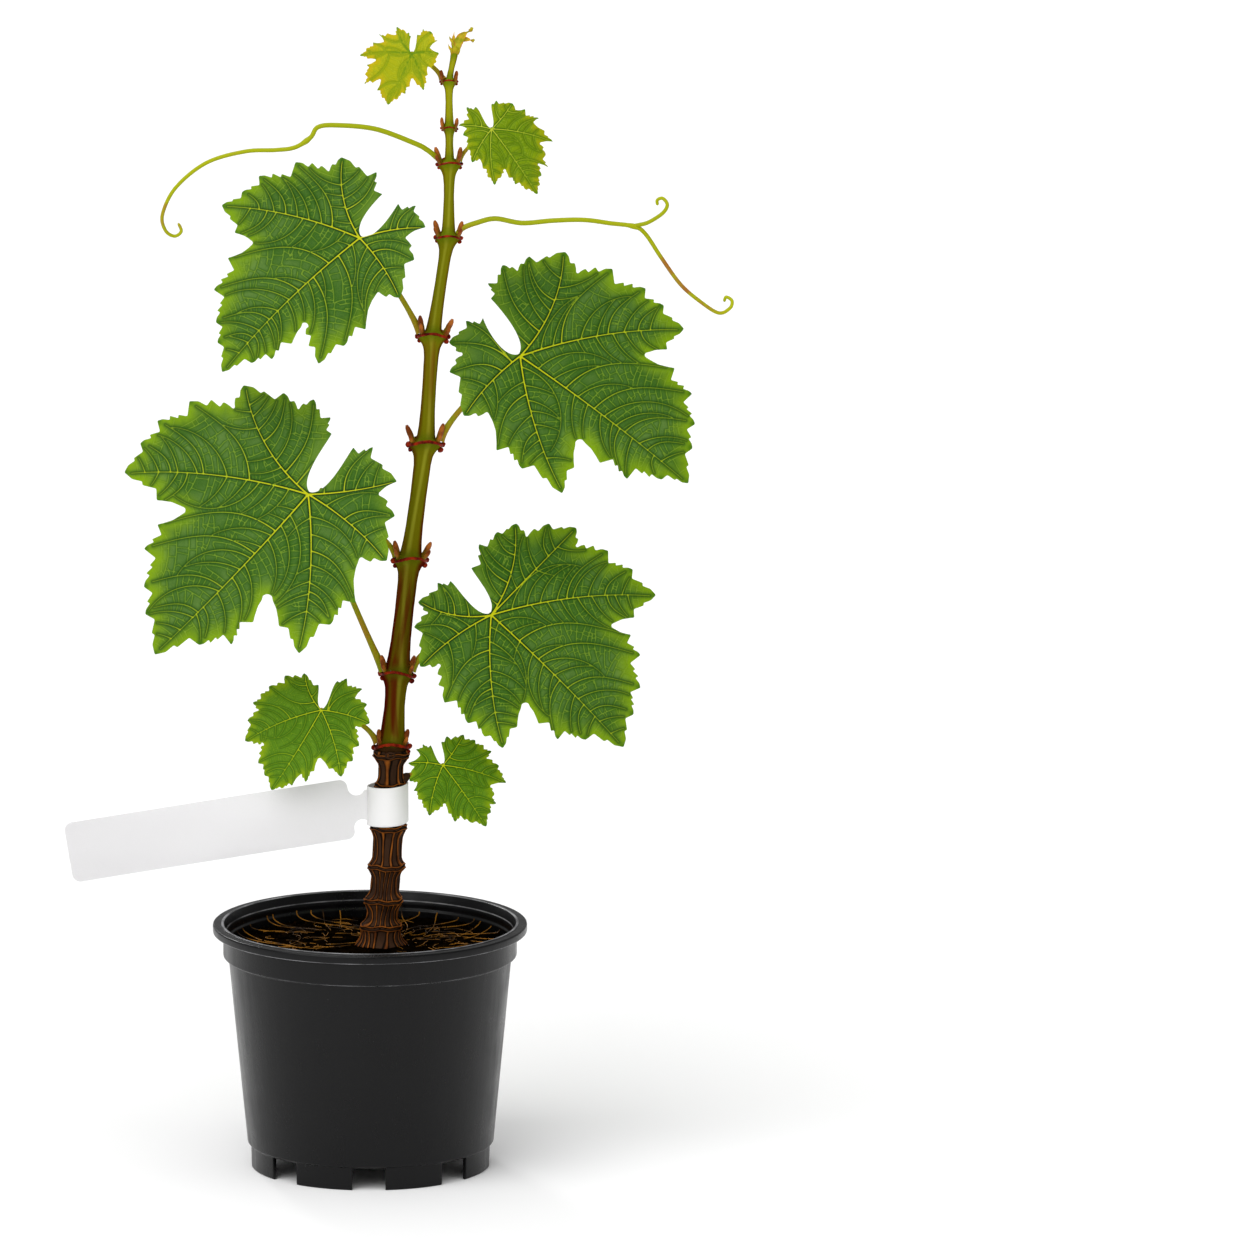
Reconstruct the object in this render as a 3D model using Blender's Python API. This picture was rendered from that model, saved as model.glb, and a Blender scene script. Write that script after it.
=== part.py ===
"""A young grapevine in its nursery pot: one cane with lobed leaves, two tendrils and a blank label.

Lengths are in millimetres in the tables and are turned into metres by MM where a mesh is made.
The origin is the middle of the pot's underside. +Z is up, and -Y faces the viewer, whose eye
looks down by VIEW_TILT: the blades are laid out in planes square to that line of sight.
"""

import math

import bmesh
import bpy
from mathutils import Matrix, Vector
from mathutils.geometry import delaunay_2d_cdt, interpolate_bezier

MM = 0.001
GAP = 0.3  # clearance between neighbouring pieces
VIEW_TILT = math.radians(11.3)
RIGHT = Vector((1, 0, 0))
UPWARD = Vector((0, math.sin(VIEW_TILT), math.cos(VIEW_TILT)))
TOWARD = Vector((0, -math.cos(VIEW_TILT), math.sin(VIEW_TILT)))

# Nursery pot of 2 litres
POT_HEIGHT = 130.0
RIM_RADIUS = 82.5
RIM_INNER_RADIUS = 76.7
LIP_HEIGHT = 5.2
COLLAR_RADIUS = 77.1
COLLAR_FOOT = 111.8
BODY_TOP_RADIUS = 74.3
BODY_FOOT_RADIUS = 64.7
SKIRT_HEIGHT = 12.0
SKIRT_RADIUS = 63.0
WALL = 2.0
BOSS_RADIUS = 10.0
POT_SEGMENTS = 48
DRAIN_SLOTS = 8
SLOT_WIDTH = 17.4

# Soil
SOIL_TOP = 118.3
SOIL_HOLLOW = 2.2

# Woody foot: height, centre x and radius of each swollen joint and of the waist above it
TRUNK_FOOT = 118.6
TRUNK_TOP = 222.4
FOOT_RADIUS = 13.2
FOOT_FLARE = 6.0
WOOD_JOINTS = (
    (127.7, 5.7, 11.0, 8.3),
    (141.7, 7.1, 10.2, 7.8),
    (160.0, 8.8, 9.9, 7.8),
    (180.9, 9.9, 9.7, 7.8),
    (203.4, 10.9, 8.2, 7.2),
    (219.5, 11.4, 9.6, 9.0),
)
TRUNK_SIDES = 16

# Green cane: each joint's name, height, centre (x, y), ring radius and the cane's radius above it
CANE_FOOT = TRUNK_TOP + GAP
CANE_FOOT_RADIUS = 8.6
CANE_TOP = 591.6
CANE_SIDES = 12
RING_FLATNESS = 0.86
JOINTS = {
    "base": (225.4, (11.7, 0.0), 8.2, 5.6),
    "first": (263.8, (14.8, 0.5), 7.6, 5.2),
    "second": (324.5, (21.5, 1.5), 7.2, 4.5),
    "third": (386.2, (29.8, 1.0), 7.0, 3.8),
    "fourth": (443.6, (33.8, -0.5), 6.0, 3.2),
    "fifth": (495.7, (42.0, -1.0), 4.9, 2.8),
    "sixth": (534.2, (42.6, 0.0), 4.6, 2.1),
    "seventh": (552.6, (42.6, 0.5), 3.0, 1.9),
    "eighth": (577.3, (42.4, 0.0), 3.2, 1.5),
    "tip": (CANE_TOP, (45.6, 0.0), 1.6, 1.6),
}
# Buds: joint, lean from upright in degrees (left is negative), length
BUDS = (
    ("base", -8, 9.0),
    ("base", 34, 8.0),
    ("first", -20, 8.0),
    ("first", 24, 8.0),
    ("second", -18, 8.0),
    ("second", 36, 8.5),
    ("third", -28, 8.5),
    ("third", 24, 9.0),
    ("fourth", -12, 8.5),
    ("fourth", 36, 8.0),
    ("fifth", -22, 8.0),
    ("fifth", 24, 7.5),
    ("sixth", -24, 8.5),
    ("sixth", 16, 8.0),
    ("seventh", -16, 6.5),
    ("seventh", 18, 6.0),
    ("eighth", -14, 6.5),
    ("eighth", 16, 6.0),
)
BUD_RADIUS = 1.5

# Leaves. The edge runs anticlockwise from one shoulder of the leaf-stalk sinus to the other:
# lobe tips, larger teeth and notches, each with its bearing from the midrib and its length.
LOBE, TOOTH, NOTCH = "lobe", "tooth", "notch"
BLADE = 1.8  # thickness
STALK_SIDES = 8
MAIN_TEETH = 0.15  # spacing of the large teeth, as a share of the midrib
LEAVES = {
    "leaf_low_left": {
        "joint": "first", "side": -1, "hub": (-31, -26, 363.3), "midrib": 226, "slope": (0.34, -0.30),
        "stalk": 1.5,
        "edge": (
            (TOOTH, -157, 33), (TOOTH, -152, 41), (TOOTH, -139, 49), (NOTCH, -129, 45), (TOOTH, -122, 54),
            (LOBE, -105, 66), (NOTCH, -95, 60), (TOOTH, -84, 79), (TOOTH, -72, 88), (TOOTH, -63, 92),
            (LOBE, -53, 97), (TOOTH, -44, 79), (NOTCH, -39, 65), (TOOTH, -35, 80), (TOOTH, -28, 90),
            (TOOTH, -17, 98), (TOOTH, -10, 105), (LOBE, 0, 115), (TOOTH, 8, 96), (TOOTH, 17, 87),
            (NOTCH, 22, 56), (LOBE, 41, 82), (TOOTH, 54, 68), (TOOTH, 68, 61), (NOTCH, 84, 43),
            (LOBE, 94, 53), (TOOTH, 120, 46), (NOTCH, 134, 37), (LOBE, 142, 46), (TOOTH, 170, 41),
            (TOOTH, 180, 33),
        ),
    },
    "leaf_low_right": {
        "joint": "first", "side": 1, "hub": (64, -8, 295.7), "midrib": 315, "slope": (-0.34, -0.24),
        "stalk": 1.5,
        "edge": (
            (TOOTH, -175, 27), (TOOTH, -166, 32), (LOBE, -145, 38), (NOTCH, -137, 33), (TOOTH, -126, 40),
            (LOBE, -99, 45), (NOTCH, -91, 37), (TOOTH, -73, 51), (TOOTH, -57, 57), (LOBE, -40, 69),
            (NOTCH, -24, 49), (TOOTH, -17, 73), (TOOTH, -8, 81), (LOBE, 0, 97), (TOOTH, 10, 90),
            (TOOTH, 19, 86), (TOOTH, 30, 80), (TOOTH, 37, 73), (NOTCH, 40, 63), (TOOTH, 44, 74),
            (LOBE, 52, 86), (TOOTH, 63, 77), (TOOTH, 74, 69), (NOTCH, 84, 57), (LOBE, 91, 63),
            (TOOTH, 103, 56), (NOTCH, 111, 45), (LOBE, 120, 49), (TOOTH, 131, 43), (TOOTH, 145, 37),
            (TOOTH, 158, 26),
        ),
    },
    "leaf_mid_right": {
        "joint": "third", "side": 1, "hub": (79.2, 4, 430.9), "midrib": 323, "slope": (-0.30, -0.30),
        "stalk": 1.5,
        "edge": (
            (TOOTH, -189, 27), (TOOTH, -176, 33), (LOBE, -154, 37), (NOTCH, -145, 30), (TOOTH, -130, 37),
            (LOBE, -96, 42), (NOTCH, -83, 34), (TOOTH, -67, 50), (TOOTH, -52, 58), (LOBE, -36, 74),
            (NOTCH, -18, 53), (TOOTH, -12, 84), (TOOTH, -4, 97), (LOBE, 0, 109), (TOOTH, 9, 101),
            (TOOTH, 16, 97), (TOOTH, 25, 91), (TOOTH, 33, 80), (NOTCH, 38, 65), (TOOTH, 40, 76),
            (LOBE, 47, 86), (TOOTH, 57, 79), (TOOTH, 66, 74), (TOOTH, 81, 66), (NOTCH, 93, 53),
            (LOBE, 104, 59), (TOOTH, 122, 52), (NOTCH, 129, 45), (TOOTH, 138, 48), (TOOTH, 151, 41),
            (TOOTH, 154, 33),
        ),
    },
    "leaf_mid_left": {
        "joint": "fourth", "side": -1, "hub": (-3.8, -20, 497.5), "midrib": 224, "slope": (0.30, -0.34),
        "stalk": 1.4,
        "edge": (
            (TOOTH, -161, 25), (TOOTH, -148, 35), (LOBE, -121, 43), (NOTCH, -109, 39), (TOOTH, -94, 52),
            (TOOTH, -76, 62), (TOOTH, -66, 66), (LOBE, -58, 74), (TOOTH, -47, 65), (NOTCH, -42, 56),
            (TOOTH, -36, 69), (TOOTH, -25, 80), (TOOTH, -14, 86), (TOOTH, -8, 91), (LOBE, 0, 99),
            (TOOTH, 5, 85), (TOOTH, 10, 77), (NOTCH, 14, 52), (LOBE, 28, 68), (TOOTH, 38, 56),
            (TOOTH, 50, 47), (NOTCH, 65, 30), (LOBE, 80, 37), (TOOTH, 114, 30), (NOTCH, 136, 24),
            (LOBE, 145, 34), (TOOTH, 166, 33), (TOOTH, 178, 26),
        ),
    },
    "leaf_top_right": {
        "joint": "sixth", "side": 1, "hub": (64.7, -8, 552.9), "midrib": 305, "slope": (-0.38, -0.30),
        "stalk": 1.0,
        "edge": (
            (TOOTH, -179, 14), (TOOTH, -166, 17), (NOTCH, -148, 13), (LOBE, -130, 17), (NOTCH, -125, 13),
            (TOOTH, -112, 15), (LOBE, -65, 20), (NOTCH, -57, 17), (LOBE, -32, 29), (NOTCH, -18, 22),
            (TOOTH, -12, 31), (LOBE, 0, 41), (TOOTH, 12, 35), (NOTCH, 18, 30), (TOOTH, 21, 35),
            (NOTCH, 39, 26), (LOBE, 44, 32), (NOTCH, 65, 22), (TOOTH, 69, 25), (TOOTH, 87, 20),
            (NOTCH, 95, 16), (LOBE, 107, 17), (TOOTH, 136, 15), (TOOTH, 145, 13),
        ),
    },
    "leaf_top_left": {
        "joint": "eighth", "side": -1, "hub": (23.2, -3, 591.7), "midrib": 245, "slope": (0.38, -0.20),
        "stalk": 0.9,
        "edge": (
            (TOOTH, -152, 9), (TOOTH, -148, 11), (LOBE, -126, 16), (NOTCH, -116, 13), (TOOTH, -96, 20),
            (NOTCH, -89, 16), (TOOTH, -82, 21), (LOBE, -64, 27), (NOTCH, -56, 19), (TOOTH, -52, 24),
            (TOOTH, -33, 29), (NOTCH, -26, 21), (TOOTH, -19, 26), (LOBE, 0, 29), (TOOTH, 16, 21),
            (NOTCH, 26, 13), (LOBE, 43, 20), (NOTCH, 75, 11), (TOOTH, 78, 14), (LOBE, 116, 14),
            (NOTCH, 132, 10), (TOOTH, 141, 15), (LOBE, 163, 15), (TOOTH, 180, 14), (TOOTH, 189, 10),
        ),
    },
    "leaf_base_left": {
        "joint": "base", "side": -1, "hub": (-24.8, -18, 247.1), "midrib": 238, "slope": (0.34, -0.26),
        "stalk": 1.3,
        "edge": (
            (TOOTH, -141, 13), (LOBE, -123, 21), (NOTCH, -116, 20), (TOOTH, -101, 26), (NOTCH, -94, 24),
            (TOOTH, -82, 30), (TOOTH, -64, 36), (NOTCH, -58, 33), (TOOTH, -50, 39), (LOBE, -36, 43),
            (NOTCH, -28, 35), (TOOTH, -18, 43), (TOOTH, -9, 45), (LOBE, 0, 49), (TOOTH, 11, 42),
            (NOTCH, 15, 35), (LOBE, 20, 38), (NOTCH, 30, 25), (LOBE, 49, 36), (TOOTH, 64, 31),
            (TOOTH, 79, 27), (NOTCH, 96, 20), (LOBE, 107, 26), (TOOTH, 129, 24), (NOTCH, 141, 19),
            (TOOTH, 149, 24), (LOBE, 173, 21), (TOOTH, 183, 17),
        ),
    },
    "leaf_base_right": {
        "root": (18.2, 0.0, 207.6), "rise": (0.9, 0.3, 0.3), "side": 1, "hub": (38.7, -16, 217.3),
        "midrib": 305, "slope": (-0.36, -0.22), "stalk": 1.1,
        "edge": (
            (TOOTH, -183, 12), (TOOTH, -171, 15), (TOOTH, -155, 16), (NOTCH, -148, 13), (LOBE, -129, 18),
            (NOTCH, -122, 15), (TOOTH, -100, 19), (NOTCH, -92, 16), (TOOTH, -84, 20), (LOBE, -50, 27),
            (NOTCH, -33, 20), (LOBE, -23, 30), (NOTCH, -16, 28), (LOBE, 0, 39), (TOOTH, 10, 35),
            (NOTCH, 15, 32), (TOOTH, 19, 34), (NOTCH, 31, 27), (LOBE, 39, 34), (TOOTH, 54, 29),
            (NOTCH, 64, 23), (TOOTH, 71, 26), (TOOTH, 93, 21), (LOBE, 111, 19), (NOTCH, 128, 14),
            (TOOTH, 138, 15), (TOOTH, 149, 12),
        ),
    },
}
# The leaf on the far side of the cane has the form of leaf_base_left, a little smaller.
BACK_LEAF = {
    "joint": "second", "side": -1, "hub": (-20, 30, 343), "midrib": 285, "slope": (0.10, -0.25),
    "stalk": 1.2, "like": "leaf_base_left", "scale": 0.86, "turn": math.radians(215),
}

# Tendrils: route points and the radius from root to tip
TENDRIL_SIDES = 6
LEFT_TENDRIL = (
    (38.6, 0, 533.6), (35.8, -1.5, 536.9), (31, -4, 541.3), (24.5, -6, 545.1), (4.6, -9, 553),
    (-15.4, -10, 555.2), (-25.4, -10, 554.2), (-29.4, -11, 548.8), (-37.4, -12, 543.9),
    (-47.4, -12, 542.5), (-63.4, -12, 541.7), (-83.4, -11, 535.6), (-99.4, -8, 522.1),
    (-106.5, -4, 507.4), (-105.2, -2, 498.6), (-100.6, 0, 495.1), (-97, 1, 497.4), (-98.6, 2, 501.7),
)
RIGHT_TENDRIL = (
    (46.8, -1.8, 496.9), (50, -2.4, 500), (56.5, -3, 502.6), (66.4, -5, 505.2), (80.4, -8, 503.4),
    (96.4, -11, 505.2), (112.4, -13, 505.9), (126.5, -13, 504.1), (138.4, -13, 502.5),
    (144.5, -12, 498.3), (152.5, -10, 485.8), (162.5, -8, 471.3), (172.5, -5, 461.8),
    (182.5, -2, 454.9), (188.5, 0, 457.1), (189.5, 1.5, 460.7), (186.5, 2.5, 462.5), (185.5, 3, 459.9),
)
TENDRIL_FORK = (
    (136.6, -12.7, 502.4), (141, -13.4, 503.3), (146.4, -14, 505), (153.4, -15, 509.8),
    (155.8, -15, 514.2), (153.4, -14, 517.4), (150.6, -13, 516.3), (150.8, -12.5, 513.5),
)
TENDRIL_ROOT_RADIUS = 1.45
TENDRIL_TIP_RADIUS = 0.8

# Label: a blank strip with a looped band round the woody foot
LABEL_SHEET = 0.9
LABEL_LENGTH = 150.0
LABEL_HEIGHT = 32.0
LABEL_CORNER = 4.2
LABEL_DROOP = math.radians(9.2)
LABEL_END = (-9.7, -3.0, 191.4)
NECK_HEIGHT = 12.8
BAND_CENTRE = (9.8, 0.0)
BAND_RADIUS = 10.4
BAND_FOOT = 183.4
BAND_HEIGHT = 20.1
BAND_SEGMENTS = 24

# Growing tip: each unfolding leaflet's root and tip, and its width
TIP_KNOB = (45.7, 0.0, 593.2)
LEAFLETS = (
    ((45.2, 0, 593.6), (42.4, -1.5, 598.6), 2.2),
    ((45.8, 0, 594), (46.1, 1.0, 600.6), 2.6),
    ((46.2, 0, 593.6), (57.0, -2.0, 602.2), 3.6),
    ((48.2, -0.6, 595.6), (56.0, -1.0, 595.0), 2.8),
    ((45.4, 0, 593.2), (41.4, 1.2, 594.0), 1.8),
)


def material(name, colour, roughness):
    made = bpy.data.materials.new(name)
    made.use_nodes = True
    shader = made.node_tree.nodes["Principled BSDF"]
    shader.inputs["Base Color"].default_value = (*colour, 1)
    shader.inputs["Roughness"].default_value = roughness
    return made


def body(name, mesh, finish):
    """A bmesh in millimetres made an object in metres, with its faces turned outwards."""
    bmesh.ops.scale(mesh, vec=(MM, MM, MM), verts=mesh.verts)
    bmesh.ops.recalc_face_normals(mesh, faces=mesh.faces)
    data = bpy.data.meshes.new(name)
    mesh.to_mesh(data)
    mesh.free()
    data.materials.append(finish)
    data.shade_smooth()
    data.set_sharp_from_angle(angle=math.radians(35))
    made = bpy.data.objects.new(name, data)
    bpy.context.scene.collection.objects.link(made)
    return made


def apply_boolean(target, operation, others):
    """Joins or cuts with every one of the other objects at once, then deletes them."""
    group = bpy.data.collections.new(target.name + "_tools")
    bpy.context.scene.collection.children.link(group)
    for other in others:
        for holder in list(other.users_collection):
            holder.objects.unlink(other)
        group.objects.link(other)
    step = target.modifiers.new(operation.title(), "BOOLEAN")
    step.operation = operation
    step.operand_type = "COLLECTION"
    step.collection = group
    with bpy.context.temp_override(object=target, active_object=target, selected_objects=[target]):
        bpy.ops.object.modifier_apply(modifier=step.name)
    for other in others:
        bpy.data.objects.remove(other)
    bpy.data.collections.remove(group)


def loft(mesh, loops):
    """Skins closed loops of equal count and caps both ends."""
    rings = [[mesh.verts.new(point) for point in loop] for loop in loops]
    for lower, upper in zip(rings, rings[1:]):
        count = len(lower)
        for i in range(count):
            j = (i + 1) % count
            mesh.faces.new((lower[i], lower[j], upper[j], upper[i]))
    mesh.faces.new(reversed(rings[0]))
    mesh.faces.new(rings[-1])


def level_ring(centre, height, radius, sides, flatness=1.0):
    return [
        Vector((
            centre[0] + radius * math.cos(2 * math.pi * i / sides),
            centre[1] + flatness * radius * math.sin(2 * math.pi * i / sides),
            height,
        ))
        for i in range(sides)
    ]


def swept_rings(points, radii, sides):
    """Rings square to a route, carried along it without twist."""
    tangents = [
        (points[min(i + 1, len(points) - 1)] - points[max(i - 1, 0)]).normalized()
        for i in range(len(points))
    ]
    across = tangents[0].orthogonal().normalized()
    rings = []
    for point, tangent, radius in zip(points, tangents, radii):
        across = (across - tangent * across.dot(tangent)).normalized()
        other = tangent.cross(across)
        rings.append([
            point
            + across * radius * math.cos(2 * math.pi * i / sides)
            + other * radius * math.sin(2 * math.pi * i / sides)
            for i in range(sides)
        ])
    return rings


def smooth_route(points, per_span):
    """A curve through the points (Catmull-Rom), with a few steps in each span."""
    knots = [Vector(point) for point in points]
    route = []
    for i in range(len(knots) - 1):
        before = knots[max(i - 1, 0)]
        start, end = knots[i], knots[i + 1]
        after = knots[min(i + 2, len(knots) - 1)]
        spans = interpolate_bezier(
            start, start + (end - before) / 6, end - (after - start) / 6, end, per_span + 1
        )
        route.extend(spans[:-1])
    route.append(knots[-1])
    return route


def turned(name, profile, segments, finish):
    """A profile of (radius, height) from the axis round to the axis, spun into a closed solid."""
    mesh = bmesh.new()
    points = [mesh.verts.new((radius, 0, height)) for radius, height in profile]
    edges = [mesh.edges.new(pair) for pair in zip(points, points[1:])]
    bmesh.ops.spin(
        mesh, geom=points + edges, cent=(0, 0, 0), axis=(0, 0, 1), angle=2 * math.pi,
        steps=segments, use_merge=True,
    )
    bmesh.ops.remove_doubles(mesh, verts=mesh.verts, dist=0.001)
    return body(name, mesh, finish)


def build_pot(finish):
    lip_foot = POT_HEIGHT - LIP_HEIGHT
    panel_foot = SKIRT_HEIGHT + 0.3
    profile = (
        (0, 0),
        (BOSS_RADIUS, 0),
        (BOSS_RADIUS, panel_foot),
        (SKIRT_RADIUS - WALL, panel_foot),
        (SKIRT_RADIUS - WALL, 0),
        (SKIRT_RADIUS, 0),
        (SKIRT_RADIUS + 0.3, SKIRT_HEIGHT),
        (BODY_FOOT_RADIUS, SKIRT_HEIGHT + 0.8),
        (BODY_TOP_RADIUS, COLLAR_FOOT),
        (COLLAR_RADIUS, COLLAR_FOOT + 0.8),
        (COLLAR_RADIUS, lip_foot),
        (RIM_RADIUS, lip_foot + 0.4),
        (RIM_RADIUS, POT_HEIGHT - 0.8),
        (RIM_RADIUS - 0.8, POT_HEIGHT),
        (RIM_INNER_RADIUS, POT_HEIGHT),
        (COLLAR_RADIUS - WALL, lip_foot - 1),
        (COLLAR_RADIUS - WALL, COLLAR_FOOT + 2),
        (BODY_TOP_RADIUS - WALL, COLLAR_FOOT - 1),
        (BODY_FOOT_RADIUS - WALL, panel_foot + WALL),
        (0, panel_foot + WALL),
    )
    pot = turned("pot", profile, POT_SEGMENTS, finish)
    cutters = []
    for i in range(DRAIN_SLOTS):
        mesh = bmesh.new()
        bmesh.ops.create_cube(mesh, size=1)
        bmesh.ops.scale(mesh, vec=(12, SLOT_WIDTH, SKIRT_HEIGHT + 2), verts=mesh.verts)
        bmesh.ops.translate(mesh, vec=(SKIRT_RADIUS, 0, SKIRT_HEIGHT / 2 - 1), verts=mesh.verts)
        turn = Matrix.Rotation(math.radians(-90 + 360 * i / DRAIN_SLOTS), 3, "Z")
        bmesh.ops.rotate(mesh, cent=(0, 0, 0), matrix=turn, verts=mesh.verts)
        cutters.append(body(f"slot_{i}", mesh, finish))
    apply_boolean(pot, "DIFFERENCE", cutters)
    return pot


def soil_height(x, y):
    """The mix is level round the woody foot and sinks in soft hollows away from it."""
    foot_x = WOOD_JOINTS[0][1]
    away = math.hypot(x - foot_x, y) - FOOT_RADIUS - 5
    share = max(0.0, min(1.0, away / 20))
    swell = 0.5 + 0.25 * math.sin(x / 11 + 1.0) + 0.25 * math.sin(y / 9 - x / 17)
    return SOIL_TOP - SOIL_HOLLOW * share * swell


def build_soil(finish):
    panel_top = SKIRT_HEIGHT + 0.3 + WALL + GAP
    slant = (BODY_TOP_RADIUS - BODY_FOOT_RADIUS) / (COLLAR_FOOT - SKIRT_HEIGHT)
    foot_radius = BODY_FOOT_RADIUS - WALL - GAP - 0.4
    neck = COLLAR_FOOT - 1.5
    neck_radius = foot_radius + slant * (neck - panel_top) - 0.3
    sides = 32
    mesh = bmesh.new()
    loops = [
        level_ring((0, 0), panel_top, foot_radius, sides),
        level_ring((0, 0), neck, neck_radius, sides),
        level_ring((0, 0), COLLAR_FOOT + 3, COLLAR_RADIUS - WALL - GAP - 0.4, sides),
    ]
    for radius in (COLLAR_RADIUS - WALL - GAP - 0.4, 60, 45, 30, 12):
        loop = level_ring((0, 0), SOIL_TOP, radius, sides)
        for point in loop:
            point.z = soil_height(point.x, point.y)
        loops.append(loop)
    loft(mesh, loops)
    return body("soil", mesh, finish)


def trunk_rings(swell):
    """Waist, shoulder and crest of each swollen joint, from the flared foot to the flat top."""
    foot_x = WOOD_JOINTS[0][1] - 0.2
    rings = []
    for height, radius in ((TRUNK_FOOT, FOOT_RADIUS), (TRUNK_FOOT + 2, 12.4), (TRUNK_FOOT + 5, 11.4)):
        ring = level_ring((foot_x, 0), height, radius + swell, TRUNK_SIDES)
        for i, point in enumerate(ring):
            share = 1 - (height - TRUNK_FOOT) / FOOT_FLARE
            lobe = 1 + 0.16 * share * math.cos(5 * 2 * math.pi * i / TRUNK_SIDES + 0.6)
            point.x = foot_x + (point.x - foot_x) * lobe
            point.y *= lobe
        rings.append(ring)
    for (height, x, crest, waist), after in zip(WOOD_JOINTS, WOOD_JOINTS[1:] + (None,)):
        rings.append(level_ring((x, 0), height - 1.6, crest * 0.97 + swell, TRUNK_SIDES, 0.94))
        rings.append(level_ring((x, 0), height + 1.0, crest + swell, TRUNK_SIDES, 0.94))
        if after is None:
            rings.append(level_ring((x, 0), TRUNK_TOP, waist + swell, TRUNK_SIDES, 0.94))
            continue
        lean = (after[1] - x) / (after[0] - height)
        for rise in (4.0, (after[0] - height) - 5.0):
            rings.append(level_ring((x + lean * rise, 0), height + rise, waist + swell, TRUNK_SIDES, 0.94))
    return rings


def build_trunk(finish, name="trunk", swell=0.0):
    mesh = bmesh.new()
    loft(mesh, trunk_rings(swell))
    return body(name, mesh, finish)


def cane_sections():
    """(centre, height, radius, flatness) up the cane: it flares under each ring and steps in above."""
    joints = list(JOINTS.values())
    sections = [(joints[0][1], CANE_FOOT, CANE_FOOT_RADIUS, RING_FLATNESS)]
    for (low, centre, ring, above), (high, end, next_ring, _) in zip(joints, joints[1:]):
        run = high - low
        last = next_ring == joints[-1][2] and high == joints[-1][0]

        def at(rise):
            share = rise / run
            return (
                centre[0] + (end[0] - centre[0]) * share,
                centre[1] + (end[1] - centre[1]) * share,
            )

        sections.append((at(2.4), low + 2.4, above * 1.22, 0.95))
        sections.append((at(5.5), low + 5.5, above, 1.0))
        if last:
            sections.append((end, CANE_TOP, next_ring, 1.0))
            break
        below = above * 0.93
        sections.append((at(run * 0.55), low + run * 0.55, below, 1.0))
        sections.append((at(run - 7.0), high - 7.0, below + 0.15 * (next_ring - below), 1.0))
        sections.append((at(run - 2.2), high - 2.2, below + 0.75 * (next_ring - below), 0.94))
        sections.append((end, high - 0.7, next_ring, RING_FLATNESS))
        sections.append((end, high + 0.7, next_ring * 0.97, RING_FLATNESS))
    return sections


def bud_rings(joint, lean, length, swell):
    """A pointed bud that stands on the shoulder of its ring."""
    height, centre, ring, _ = JOINTS[joint]
    side = math.copysign(1, lean)
    angle = math.radians(lean)
    scale = min(1.0, 0.45 + ring / 10)
    out = Vector((math.sin(angle), -0.15, math.cos(angle))).normalized()
    root = Vector((centre[0] + side * ring * 0.62, centre[1] - 0.4, height - 1.0))
    stations = ((0, 1.0), (0.35, 1.15), (0.7, 0.8), (1.0, 0.3))
    points = [root + out * (length + 1.5 + swell) * share for share, _ in stations]
    radii = [BUD_RADIUS * scale * width + swell for _, width in stations]
    return swept_rings(points, radii, 6)


def build_cane(finish, name="cane", swell=0.0):
    """The cane with its buds. With a swell it is the larger body that cuts clearances."""
    mesh = bmesh.new()
    loft(mesh, [
        level_ring(centre, height, radius + swell, CANE_SIDES, flatness)
        for centre, height, radius, flatness in cane_sections()
    ])
    cane = body(name, mesh, finish)
    buds = []
    for i, (joint, lean, length) in enumerate(BUDS):
        mesh = bmesh.new()
        loft(mesh, bud_rings(joint, lean, length, swell))
        buds.append(body(f"{name}_bud_{i}", mesh, finish))
    apply_boolean(cane, "UNION", buds)
    return cane


def polar(midrib, bearing, length):
    angle = math.radians(midrib + bearing)
    return Vector((length * math.cos(angle), length * math.sin(angle)))


def toothed(start, end, start_kind, end_kind, spacing):
    """Points after start up to end: large teeth that lean to the longer side, each with a small one."""
    run = (end - start).length
    climbs = end.length > start.length if NOTCH not in (start_kind, end_kind) else start_kind == NOTCH
    base, tip = (start, end) if climbs else (end, start)
    base_kind = start_kind if climbs else end_kind
    outward = Vector(((end - start).y, -(end - start).x)).normalized()
    teeth = max(1, round(run / spacing))
    crests = [
        base.lerp(tip, i / teeth) + outward * run * 0.1 * (i / teeth) * (1 - i / teeth)
        for i in range(teeth + 1)
    ]
    points = []
    for i, (low, high) in enumerate(zip(crests, crests[1:])):
        step = (high - low).length
        if i > 0 or base_kind != NOTCH:
            low = low.lerp(high, 0.26) - outward * step * 0.2
            points.append(low)
        points.append(low.lerp(high, 0.5) + outward * step * 0.06)
        points.append(high)
    if climbs:
        return points
    return [points[i] for i in range(len(points) - 2, -1, -1)] + [end]


def leaf_outline(leaf):
    """The blade's edge, anticlockwise, with the open sinus round the stalk's end."""
    midrib = leaf["midrib"]
    edge = [(kind, polar(midrib, bearing, length)) for kind, bearing, length in leaf["edge"]]
    size = max(length for _, _, length in leaf["edge"])
    first, last = edge[0][1], edge[-1][1]
    axis = (first.normalized() + last.normalized()).normalized()
    across = Vector((-axis.y, axis.x))
    foot = axis * size * 0.012
    flank = size * 0.057

    def sinus(shoulder):
        side = math.copysign(1, across.dot(shoulder))
        depth = axis.dot(shoulder)
        curve = interpolate_bezier(
            foot.to_3d(),
            (foot + across * side * flank * 1.3).to_3d(),
            (foot + axis * depth * 0.55 + across * side * flank * 0.9).to_3d(),
            shoulder.to_3d(),
            6,
        )
        return [point.to_2d() for point in curve[1:-1]]

    outline = [foot] + sinus(first) + [first]
    for (kind, start), (next_kind, end) in zip(edge, edge[1:]):
        outline.extend(toothed(start, end, kind, next_kind, size * MAIN_TEETH))
    outline.extend(reversed(sinus(last)))
    return outline


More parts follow.
